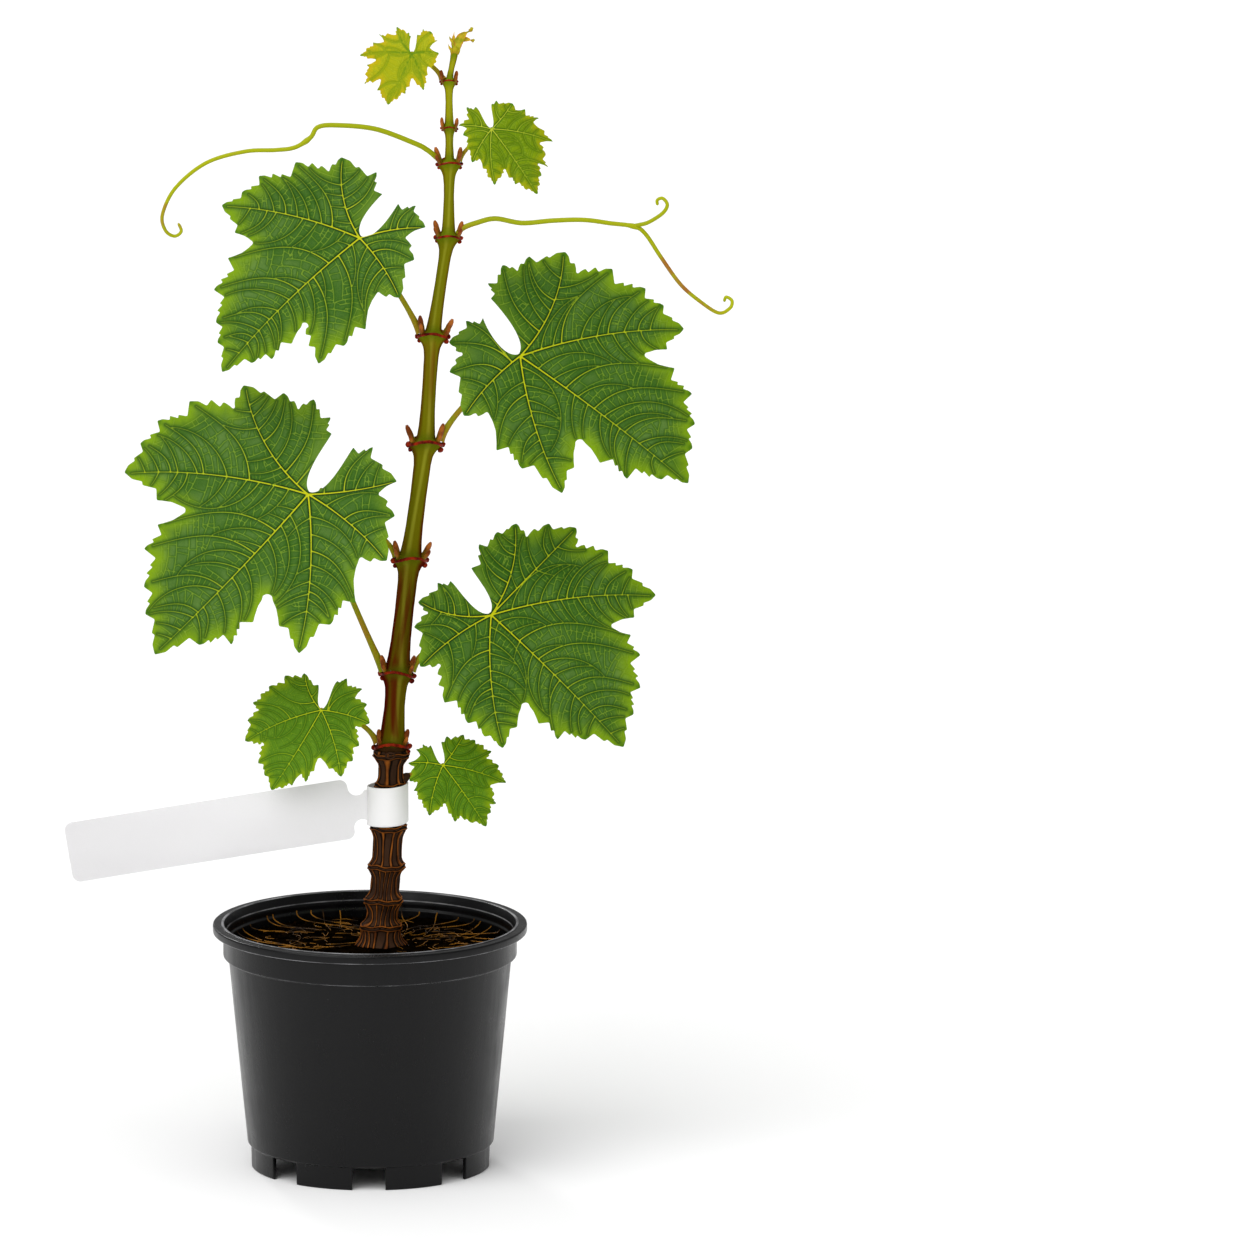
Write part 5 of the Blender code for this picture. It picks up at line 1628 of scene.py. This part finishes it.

# %% [markdown]
# ### The finish of a blade
#
# The distances on the points paint the leaf: bright yellow veins that grow paler to their ends, a
# dark line of painted shade along each side of them, a pale ladder of cross veins with painted shade
# beside each rung, and a yellow green band along the edge with darker tooth tips. The underside is
# paler and duller. One function mixes all of this, and the large leaves, the small ones, the fresh one
# and the youngest each give it their own colours and the size that its distances are made for.

# %% Mix the leaf finishes
def leaf_finish(name, inner, dark_green_and_shade, painted_shade, band, vein, vein_end, ladder, tip_colour, size):
    """A blade's finish: its inner colours first, then edge, veins and tooth tips."""
    leaf = Finish(name, roughness=0.44, specular=0.08)
    rim, gap, rung = leaf.number("rim"), leaf.number("vein"), leaf.number("rung")
    faint, tip, hub = leaf.number("faint"), leaf.number("tip"), leaf.number("hub")
    mottle = leaf.noise(45, 3)
    fine = leaf.noise(420, 2)
    blade = leaf.wash(dark_green_and_shade, inner, mottle, 0.25, 0.75, 0.15, 1.0)
    # Painted shade: darker beside each cross vein, so the panels between them look raised.
    blade = leaf.wash(blade, dark_green_and_shade, rung, 0.15, 0.009 * size + 0.5, 0.85, 0.0)
    blade = leaf.wash(blade, dark_green_and_shade, hub, 0.05, 0.6, 0.35, 0.0)
    jitter = leaf.math("MULTIPLY", mottle, 0.06 * size)
    width = leaf.math("SUBTRACT", rim, jitter)
    pale_rim = leaf.fade(width, -0.05 * size, 0.075 * size, 1.0, 0.0)
    blade = leaf.blend(leaf.math("MULTIPLY", pale_rim, leaf.fade(hub, 0.2, 0.6, 0.3, 1.0)), blade, band)
    blade = leaf.wash(blade, ladder, leaf.cells(900), 0.0, 0.1, 0.1, 0.0)
    blade = leaf.wash(blade, ladder, rung, 0.04, 0.16 + 0.0021 * size, 0.62, 0.0)
    # Painted shade: a broad darker band along the veins.
    blade = leaf.wash(blade, dark_green_and_shade, gap, 0.25, 0.016 * size + 0.9, 0.6, 0.0)
    # Painted shade: a dark line along each side of the veins, weaker beside the faint ones.
    beside = leaf.fade(gap, 0.35, 0.5 + 0.0072 * size, 0.95, 0.0)
    painted_vein_shade = leaf.math("MULTIPLY", beside, leaf.fade(faint, 0.1, 0.7, 1.0, 0.45))
    blade = leaf.blend(painted_vein_shade, blade, painted_shade)
    line = leaf.wash(vein, vein_end, faint, 0.0, 0.85)
    strength = leaf.fade(faint, 0.3, 1.2, 1.0, 0.38)
    mask = leaf.math("MULTIPLY", leaf.fade(gap, -0.05, 0.15, 1.0, 0.0), strength)
    blade = leaf.blend(mask, blade, line)
    blade = leaf.wash(blade, vein, leaf.number("fork"), 0.15, 0.2 + 0.003 * size, 0.6, 0.0)
    blade = leaf.wash(blade, tip_colour, tip, 0.2, 0.028 * size + 0.6, 0.75, 0.0)
    back = leaf.wash(rgb(122, 148, 84), rgb(168, 176, 96), gap, -0.05, 0.5, 1.0, 0.0)
    back = leaf.wash(back, rgb(150, 166, 96), rung, 0.1, 0.6, 0.6, 0.0)
    back = leaf.wash(back, band, rim, 0.1, 0.8, 1.0, 0.0)
    leaf.colour(leaf.blend(leaf.number("under"), blade, back))
    leaf.roughness(leaf.fade(fine, 0.3, 0.7, 0.4, 0.54))
    leaf.bump(leaf.math("ADD", leaf.fade(leaf.cells(900), 0.0, 0.3), fine), 0.1)
    return leaf


grown = leaf_finish(
    "grown_leaf", size=100, inner=rgb(86, 119, 52), dark_green_and_shade=rgb(44, 87, 14), painted_shade=rgb(18, 52, 10),
    band=rgb(120, 154, 2), vein=rgb(186, 188, 14), vein_end=rgb(140, 166, 30),
    ladder=rgb(122, 152, 44), tip_colour=rgb(50, 98, 6),
)
small = leaf_finish(
    "small_leaf", size=46, inner=rgb(96, 134, 26), dark_green_and_shade=rgb(72, 114, 10), painted_shade=rgb(40, 84, 4),
    band=rgb(132, 158, 2), vein=rgb(178, 188, 16), vein_end=rgb(132, 160, 20),
    ladder=rgb(112, 146, 24), tip_colour=rgb(50, 98, 6),
)
fresh = leaf_finish(
    "fresh_leaf", size=50, inner=rgb(134, 156, 8), dark_green_and_shade=rgb(94, 126, 4), painted_shade=rgb(66, 102, 2),
    band=rgb(156, 158, 2), vein=rgb(176, 186, 50), vein_end=rgb(146, 164, 34),
    ladder=rgb(140, 160, 32), tip_colour=rgb(66, 122, 8),
)
youngest = leaf_finish(
    "youngest_leaf", size=40, inner=rgb(180, 176, 14), dark_green_and_shade=rgb(138, 150, 6), painted_shade=rgb(108, 136, 4),
    band=rgb(186, 164, 6), vein=rgb(92, 126, 8), vein_end=rgb(158, 164, 16),
    ladder=rgb(182, 182, 30), tip_colour=rgb(60, 120, 8),
)
print("finish:", grown.material.name, len(grown.tree.nodes), "nodes")

# %% [markdown]
# ### All leaves in their places
#
# Each table becomes one blade, which stands in for its solid. The blade on the far side of the
# shoot takes the table of another leaf, a little smaller, and is turned to face the other way.

# %% Place the blades
model = LEAVES[BACK_LEAF["like"]]
far_edge = [(kind, bearing, length * BACK_LEAF["scale"]) for kind, bearing, length in model["edge"]]
ALL_LEAVES = {**LEAVES, "leaf_back": {**BACK_LEAF, "edge": far_edge}}
OWN_FINISH = {
    "leaf_top_right": fresh, "leaf_top_left": youngest, "leaf_base_left": small, "leaf_base_right": small,
    "leaf_back": small,
}
for name, leaf in ALL_LEAVES.items():
    blade_data = leaf_mesh(name + "_blade", leaf, OWN_FINISH.get(name, grown))
    place(name + "_blade", blade_data, "young_leaf" if "top" in name else "leaf_green", name)

# %% [markdown]
# ### Leaf stalks
#
# A stalk leaves its joint upwards, bends over and meets the blade from behind. The route is the one
# that the solid follows. It is thick at both ends, red on the side of the shoot, and yellow green
# towards the leaf.

# %% Grow the stalks
STALK_STEPS = 30


def stalk_route(leaf):
    """The stalk's middle line and its radius at each point, by the rule of the solid."""
    hub, _, _, toward = leaf_frame(leaf)
    if "root" in leaf:
        root = Vector(leaf["root"])
    else:
        height, centre, ring, _ = JOINTS[leaf["joint"]]
        root = Vector((centre[0] + leaf["side"] * (ring - 0.6), centre[1], height + 0.6))
    run = (hub - root).length
    rise = Vector(leaf.get("rise", (0.42 * leaf["side"], 0.1, 0.9))).normalized()
    last = hub - toward * run * 0.25 - (hub - root) * 0.12
    route = interpolate_bezier(root, root + rise * run * 0.4, last, hub - toward * 0.5, STALK_STEPS)
    radii = []
    for i in range(STALK_STEPS):
        share = i / (STALK_STEPS - 1)
        flare = 0.75 * math.exp(-share * 14) + 0.2 * math.exp(-(1 - share) * 16)
        radii.append(leaf["stalk"] * (1 - 0.15 * share + flare))
    return route, radii


stalk = Finish("leaf_stalk", roughness=0.38, specular=0.08)
along = stalk.number("along")
patchy = stalk.noise(110, 3, stretch=(1, 1, 0.5))
pale = stalk.wash(rgb(132, 138, 12), rgb(182, 174, 24), patchy, 0.3, 0.7)
reddish = stalk.math("MULTIPLY", stalk.fade(along, 0.0, 0.8, 0.6, 0.1), stalk.fade(patchy, 0.35, 0.6))
stalk.colour(stalk.blend(reddish, pale, rgb(142, 62, 26)))
stalk.bump(stalk.noise(400, 2, stretch=(1, 1, 0.3)), 0.08)
routes = [stalk_route(leaf) for leaf in ALL_LEAVES.values()]
place("leaf_stalks", tubes("stalks", routes, 20, stalk), "green_cane")

# %% [markdown]
# ### Stub and scar on the wood
#
# The lowest right leaf springs from a short stub of old wood. The top ring of the wood shows an oval
# scar with a small eye, where an older leaf fell off. All three are short tubes in the same bark.

# %% Set the stub and the scar
STUB = ((16.4, 0.0, 206.2), (18.2, 0.0, 207.0), (20.0, 0.2, 208.2), (21.2, 0.4, 208.6))
EYE = ((9.9, -8.9, 220.9), (10.6, -9.5, 221.0), (11.4, -9.5, 221.0), (12.1, -8.9, 220.9))
SCAR_CENTRE = (11.0, -9.1, 220.9)
SCAR_STEPS = 16
scar = []
for i in range(SCAR_STEPS + 1):
    turn = 2 * math.pi * i / SCAR_STEPS
    out = (2.3 * math.cos(turn), 0.3 * math.cos(turn) ** 2, 1.5 * math.sin(turn))
    scar.append([middle + away for middle, away in zip(SCAR_CENTRE, out)])
wood_marks = [(STUB, (2.6, 2.6, 2.0, 1.2)), (scar, [0.5] * len(scar)), (EYE, (0.3, 0.6, 0.6, 0.3))]
place("bark_spur", tubes("spur", wood_marks, 12, bark), "bark")

# %% [markdown]
# ## Tendrils
#
# A tendril is a shoot that feels for a hold: it leaves the joint, wanders, and curls at its tip.
# The points are those of the solids. The right one forks, and its side arm curls the other way.
# A smooth curve through the points gives the route, and the tube tree makes it round and tapering.

# %% Grow the tendrils
TENDRIL_ROOT_RADIUS = 1.45
TENDRIL_TIP_RADIUS = 0.8
LEFT_TENDRIL = (
    (38.6, 0, 533.6), (35.8, -1.5, 536.9), (31, -4, 541.3), (24.5, -6, 545.1), (4.6, -9, 553),
    (-15.4, -10, 555.2), (-25.4, -10, 554.2), (-29.4, -11, 548.8), (-37.4, -12, 543.9), (-47.4, -12, 542.5),
    (-63.4, -12, 541.7), (-83.4, -11, 535.6), (-99.4, -8, 522.1), (-106.5, -4, 507.4), (-105.2, -2, 498.6),
    (-100.6, 0, 495.1), (-97, 1, 497.4), (-98.6, 2, 501.7),
)
RIGHT_TENDRIL = (
    (46.8, -1.8, 496.9), (50, -2.4, 500), (56.5, -3, 502.6), (66.4, -5, 505.2), (80.4, -8, 503.4),
    (96.4, -11, 505.2), (112.4, -13, 505.9), (126.5, -13, 504.1), (138.4, -13, 502.5), (144.5, -12, 498.3),
    (152.5, -10, 485.8), (162.5, -8, 471.3), (172.5, -5, 461.8), (182.5, -2, 454.9), (188.5, 0, 457.1),
    (189.5, 1.5, 460.7), (186.5, 2.5, 462.5), (185.5, 3, 459.9),
)
TENDRIL_FORK = (
    (136.6, -12.7, 502.4), (141, -13.4, 503.3), (146.4, -14, 505), (153.4, -15, 509.8), (155.8, -15, 514.2),
    (153.4, -14, 517.4), (150.6, -13, 516.3), (150.8, -12.5, 513.5),
)


def tendril_route(points, start_radius, swellings=()):
    """A smooth route with an even taper, a rounded tip, and a swelling at each share given."""
    route = smooth_route(points, 10)
    last = len(route) - 1
    radii = []
    for i in range(last + 1):
        radius = start_radius + (TENDRIL_TIP_RADIUS - start_radius) * i / last
        radius *= 1 + sum(0.3 * math.exp(-((i / last - share) / 0.012) ** 2) for share in swellings)
        radii.append(radius * min(1.0, 0.35 + 0.25 * (last - i)))
    return route, radii


tendril = Finish("tendril", roughness=0.4, specular=0.08)
here_and_there = tendril.fade(tendril.noise(26, 2), 0.5, 0.68)
blush = tendril.math("MULTIPLY", here_and_there, tendril.fade(tendril.noise(150, 2), 0.3, 0.6))
along = tendril.fade(tendril.number("along"), 0, 1)
fresh_green = tendril.blend(along, rgb(146, 154, 12), rgb(164, 170, 14))
tendril.colour(tendril.blend(blush, fresh_green, rgb(158, 96, 40)))
tendril.bump(tendril.noise(500, 2), 0.06)
left = [tendril_route(LEFT_TENDRIL, TENDRIL_ROOT_RADIUS, (0.43,))]
place("left_tendril", tubes("left", left, 16, tendril), "tendril_green", "tendril_left")
right = [
    tendril_route(RIGHT_TENDRIL, TENDRIL_ROOT_RADIUS, (0.47,)),
    tendril_route(TENDRIL_FORK, TENDRIL_ROOT_RADIUS * 0.8),
]
place("right_tendril", tubes("right", right, 16, tendril), "tendril_green", "tendril_right")

# %% [markdown]
# ## Growing tip
#
# At the top of the shoot the newest leaves are still folded along their midrib, yellow with an
# orange edge. Each is a small round grid that is narrow at its foot and pointed at its end. It is
# folded like a book and follows a bend, so the table gives its root, the corner of the bend, its end,
# its width and how green it turns. They sit on a knob of bud scales, and two of them curl at the end.

# %% Fold the leaflets
LEAFLETS = (
    ((47.0, 0, 593.4), (47.4, -1, 601.6), (54.2, -1.5, 603.6), 4.4, 1.0),
    ((48.4, -0.6, 598.0), (51.2, -1.2, 600.2), (55.2, -1, 597.8), 2.5, 0.8),
    ((45.0, 0, 593.2), (44.8, 0.3, 598.0), (45.3, 0.3, 603.0), 2.3, 0.0),
    ((44.7, -0.4, 596.6), (43.6, -0.8, 598.8), (42.3, -1, 601.0), 1.3, 0.3),
    ((44.6, -0.4, 592.8), (43.0, -1, 593.6), (41.9, -1, 597.0), 1.4, 0.0),
)
LEAFLET_ROWS = 30
LEAFLET_COLUMNS = 14


def folded_leaflet(root, bend, end, width):
    """Row by row, each point of a folded blade, its share along and how near it is to the edge."""
    root, bend, end = Vector(root), Vector(bend), Vector(end)
    found = []
    for row in range(LEAFLET_ROWS + 1):
        share = row / LEAFLET_ROWS
        start, finish = root.lerp(bend, share), bend.lerp(end, share)
        axis = (finish - start).normalized()
        across = axis.cross(Vector((0.15, 1, 0))).normalized()
        out = across.cross(axis)
        teeth = 1 + 0.09 * abs(math.sin(share * 15))
        spread = width / 2 * (0.25 + 0.75 * math.sin(min(1, share * 1.15 + 0.08) * math.pi) ** 0.7) * teeth
        spread *= 1 - share ** 9
        for column in range(LEAFLET_COLUMNS):
            turn = 2 * math.pi * column / LEAFLET_COLUMNS
            side, depth = math.cos(turn), math.sin(turn)
            fold = 0.42 * width * abs(side) * math.sin(math.pi * share)
            curl = 0.1 * width * math.sin(share * 4)
            thick = 0.42 * depth * (1 - 0.5 * abs(side)) * (1.1 - share)
            point = start.lerp(finish, share) + across * (side * spread) + out * (thick - fold + curl)
            found.append((tuple(point), share, abs(side)))
    return found


tip_points, tip_numbers, tip_faces = [], [], []
for root, bend, far_end, width, greenness in LEAFLETS:
    tip_faces += tube_faces(LEAFLET_ROWS + 1, LEAFLET_COLUMNS, len(tip_points))
    for point, share, edge in folded_leaflet(root, bend, far_end, width):
        tip_points.append(point)
        tip_numbers.append((share, edge, greenness * share))
shares, edges, greens = zip(*tip_numbers)


def face_outwards(data):
    """Turns the faces of a closed mesh to point outwards."""
    mesh = bmesh.new()
    mesh.from_mesh(data)
    bmesh.ops.recalc_face_normals(mesh, faces=mesh.faces)
    mesh.to_mesh(data)
    mesh.free()


leaflet = Finish("leaflet", roughness=0.4, specular=0.08)
flesh = leaflet.wash(rgb(170, 170, 34), rgb(214, 178, 40), leaflet.number("along"), 0.0, 0.8)
flesh = leaflet.wash(flesh, rgb(196, 110, 40), leaflet.number("edge"), 0.45, 1.0, 0.0, 0.8)
flesh = leaflet.wash(flesh, rgb(96, 148, 12), leaflet.number("green"), 0.72, 0.95)
leaflet.colour(leaflet.wash(flesh, rgb(140, 146, 24), leaflet.noise(300, 2), 0.45, 0.7))
tip_data = make_mesh(
    "tip_leaflets", tip_points, tip_faces, leaflet.material,
    along=shares, edge=edges, green=greens,
)
face_outwards(tip_data)
place("tip_leaflets", tip_data, "young_leaf", "growing_tip")
knob_routes = [
    (((45.6, 0, 590.6), (45.6, 0, 592.2), (45.7, 0, 593.8), (45.8, 0, 595.2)), (1.5, 2.0, 1.8, 0.8)),
    (((44.4, -0.6, 591.0), (43.8, -0.9, 592.8), (43.6, -0.9, 594.4)), (0.9, 0.8, 0.3)),
    (((46.8, -0.6, 591.2), (47.6, -0.9, 592.8), (48.2, -0.9, 594.0)), (0.9, 0.8, 0.3)),
    (
        ((53.0, -1.5, 603.2), (53.9, -1.5, 603.8), (54.3, -1.5, 604.7), (53.7, -1.5, 605.1)),
        (0.7, 1.1, 1.0, 0.5),
    ),
    (
        ((54.0, -1.0, 598.6), (54.9, -1.0, 597.9), (55.3, -1.0, 598.5), (54.9, -1.0, 599.0)),
        (0.6, 0.9, 0.8, 0.4),
    ),
]
place("tip_knob", tubes("knob", knob_routes, 16, stalk), "young_leaf")

# %% [markdown]
# ## Label
#
# A blank strip of white plastic hangs from a band round the wood. Strip and neck are one flat
# shape with rounded corners, so the outline is drawn corner by corner and filled with small
# triangles. Both sides are then bent a little, half the thickness apart from the middle.

# %% Cut and bend the label
LABEL_SHEET = 0.55
LABEL_LENGTH = 150.0
LABEL_HEIGHT = 32.0
LABEL_START = -12.0
LABEL_CORNER = 4.2
LABEL_DROOP = math.radians(9.2)
LABEL_END = Vector((-9.7, -3, 191.4))
NECK_HEIGHT = 12.8
NECK_FILLET = 4.5
BAND_CENTRE = (9.5, 0.0)
BAND_RADIUS = 10.9
SHEET_PITCH = 1.3


def corner(u, v, radius, start, end):
    """Points of a rounded corner about (u, v), from one angle to another in degrees."""
    angles = [math.radians(start + (end - start) * i / 12) for i in range(13)]
    return [Vector((u + radius * math.cos(a), v + radius * math.sin(a))) for a in angles]


half, neck_half = LABEL_HEIGHT / 2, NECK_HEIGHT / 2
neck_end = -(BAND_CENTRE[0] - BAND_RADIUS + LABEL_SHEET - LABEL_END.x) / math.cos(LABEL_DROOP)
strip = (
    corner(LABEL_LENGTH - LABEL_CORNER, half - LABEL_CORNER, LABEL_CORNER, 0, 90)
    + corner(LABEL_CORNER, half - LABEL_CORNER, LABEL_CORNER, 90, 180)
    + corner(-NECK_FILLET, neck_half + NECK_FILLET, NECK_FILLET, 0, -150)
    + [Vector((neck_end - 1.0, neck_half + 2.4)), Vector((neck_end - 0.2, -neck_half - 2.4))]
    + corner(-NECK_FILLET, -neck_half - NECK_FILLET, NECK_FILLET, 150, 0)
    + corner(LABEL_CORNER, LABEL_CORNER - half, LABEL_CORNER, 180, 270)
    + corner(LABEL_LENGTH - LABEL_CORNER, LABEL_CORNER - half, LABEL_CORNER, 270, 360)
)
strip = divided(strip, 1.2, closed=True)
columns = np.arange(LABEL_START, LABEL_LENGTH, SHEET_PITCH)
rows = np.arange(-half, half, SHEET_PITCH)
grid = np.array([(u, v) for u in columns for v in rows])
grid = grid[is_inside(grid, strip) & (distance_to(strip, grid) > 0.7)]
kept = [Vector(point) for point in grid.tolist()]
rim_edges = [(i, (i + 1) % len(strip)) for i in range(len(strip))]
flat, _, faces, _, _, _ = delaunay_2d_cdt(strip + kept, rim_edges, [], 1, 0.001)
along = Vector((-math.cos(LABEL_DROOP), 0, -math.sin(LABEL_DROOP)))
up = Vector((-math.sin(LABEL_DROOP), 0, math.cos(LABEL_DROOP)))
sheet_points = []
for side in (-1, 1):
    for point in flat:
        u, v = point
        bend = 0.5 * math.sin(u / 48) + 0.0022 * v * v - 0.25
        bend += 0.12 * math.sin(u / 11 + v / 7) + 0.08 * math.sin(v / 3 - u / 19)
        depth = bend * min(1.0, max(0.0, u / 20)) + side * LABEL_SHEET / 2
        sheet_points.append(tuple(LABEL_END + along * u + up * v + Vector((0, depth, 0))))
sheet_faces = two_sided(faces, len(flat))
print("label strip:", len(sheet_faces), "faces")

# %% [markdown]
# ### Band and finish of the label
#
# The band is the same plastic, bent to a loop that stands a little higher at its right. Its section
# is a thin upright strip with eased ends. The band is painted whitest, and the strip is painted
# whiter towards it, as painted light against the shade that the plant casts on them. Both are kept
# as numbers on the points.

# %% Close the band round the wood
BAND_FOOT = 183.4
BAND_HEIGHT = 20.1
BAND_SLOPE = 0.085
BAND_STEPS = 180
BAND_SECTION = (  # share of the thickness inwards, share of the height
    (0.0, 0.25), (0.0, 0.75), (0.0, 1.0), (0.5, 1.02), (1.0, 1.0),
    (1.0, 0.5), (1.0, 0.0), (0.5, -0.02), (0.0, 0.0),
)

first = len(sheet_points)
knots = len(BAND_SECTION)
for i in range(BAND_STEPS):
    turn = 2 * math.pi * i / BAND_STEPS
    for inward, rise in BAND_SECTION:
        radius = BAND_RADIUS - inward * LABEL_SHEET * 1.3
        x, y = radius * math.cos(turn), radius * math.sin(turn)
        z = BAND_FOOT + BAND_HEIGHT * rise + BAND_SLOPE * x + 0.25 * math.sin(2 * turn + 0.6)
        sheet_points.append((BAND_CENTRE[0] + x, BAND_CENTRE[1] + y, z))
    low, high = first + i * knots, first + (i + 1) % BAND_STEPS * knots
    for k in range(knots):
        after = (k + 1) % knots
        sheet_faces.append((low + k, high + k, high + after, low + after))

sheet = Finish("label_plastic", roughness=0.45, specular=0.3)
for socket, value in (("Weight", 0.25), ("Scale", 1.5 * MM), ("Radius", (1, 1, 1))):
    sheet.shader.inputs["Subsurface " + socket].default_value = value
cloud = sheet.noise(45, 3)
# Painted light: the strip grows whiter towards the band, and the band is whitest, against the shade of the
# plant above them.
strip_white_and_painted_light = sheet.blend(sheet.number("near_band"), rgb(213, 212, 213), rgb(239, 238, 239))
sheet.colour(sheet.blend(sheet.number("on_band"), strip_white_and_painted_light, rgb(252, 251, 251)))
sheet.roughness(sheet.fade(cloud, 0.3, 0.7, 0.42, 0.55))
sheet.bump(sheet.math("ADD", sheet.noise(35, 2), sheet.noise(700, 2)), 0.1)
on_band = np.arange(len(sheet_points)) >= first
near_band = np.clip(1 + (np.array(sheet_points)[:, 0] - LABEL_END.x) / LABEL_LENGTH, 0, 1) ** 1.5
label_data = make_mesh(
    "label_strip", sheet_points, sheet_faces, sheet.material, near_band=near_band, on_band=on_band,
)
face_outwards(label_data)
label_data.set_sharp_from_angle(angle=math.radians(35))
place("label_strip", label_data, "label_plastic", "label")

# %% [markdown]
# ## Floor and light
#
# The pot stands on a white sweep in even, soft light. Three broad suns shine from the front and from
# above, so the floor stays white to its far end and the shadow at the pot's foot is faint. A narrow
# one behind draws the edges. The fill is kept out of the gloss, where it would show as a pale patch.
# The sky is white where the lens sees it, and dimmer as a source of light, so that the black pot
# stays black.

# %% Set the stage
FLOOR_HALF = 30.0
FLOOR_DROP = 0.02
SKY_LIGHT = 0.32
LIGHTS = (  # strength, spread in degrees, tilt, turn, and whether gloss shows it
    ("key", 2.0, 60, 46, -38, True),
    ("fill", 0.8, 80, 55, 40, False),
    ("top", 0.6, 60, 14, 190, True),
    ("edge", 0.4, 8, 60, -160, True),
)

paper = Finish("floor_paper", roughness=0.9, specular=0.0)
paper.colour(paper.blend(paper.noise(3, 2), rgb(250, 250, 250), rgb(252, 252, 252)))
reach = FLOOR_HALF / MM
corners = ((-reach, -reach), (reach, -reach), (reach, reach), (-reach, reach))
floor_points = [(x, y, -FLOOR_DROP) for x, y in corners]
floor = new_object("floor", make_mesh("floor", floor_points, [(0, 1, 2, 3)], paper.material))

world = bpy.data.worlds.new("studio")
world.use_nodes = True
nodes = world.node_tree
backdrop = nodes.nodes["Background"]
seen = add(nodes, "ShaderNodeLightPath").outputs["Is Camera Ray"]
level = add(nodes, "ShaderNodeMapRange", {"Value": seen, "To Min": SKY_LIGHT, "To Max": 1.0})
nodes.links.new(level.outputs["Result"], backdrop.inputs["Strength"])
backdrop.inputs["Color"].default_value = (1, 1, 1, 1)
bpy.context.scene.world = world

for name, strength, spread, tilt, turn, glossy in LIGHTS:
    sun = bpy.data.lights.new(name, "SUN")
    sun.energy = strength
    sun.angle = math.radians(spread)
    lamp = new_object(name, sun)
    lamp.rotation_euler = (math.radians(tilt), 0, math.radians(turn))
    lamp.visible_glossy = glossy
bpy.context.scene.view_settings.view_transform = "Standard"
print("stage set, sky", SKY_LIGHT)
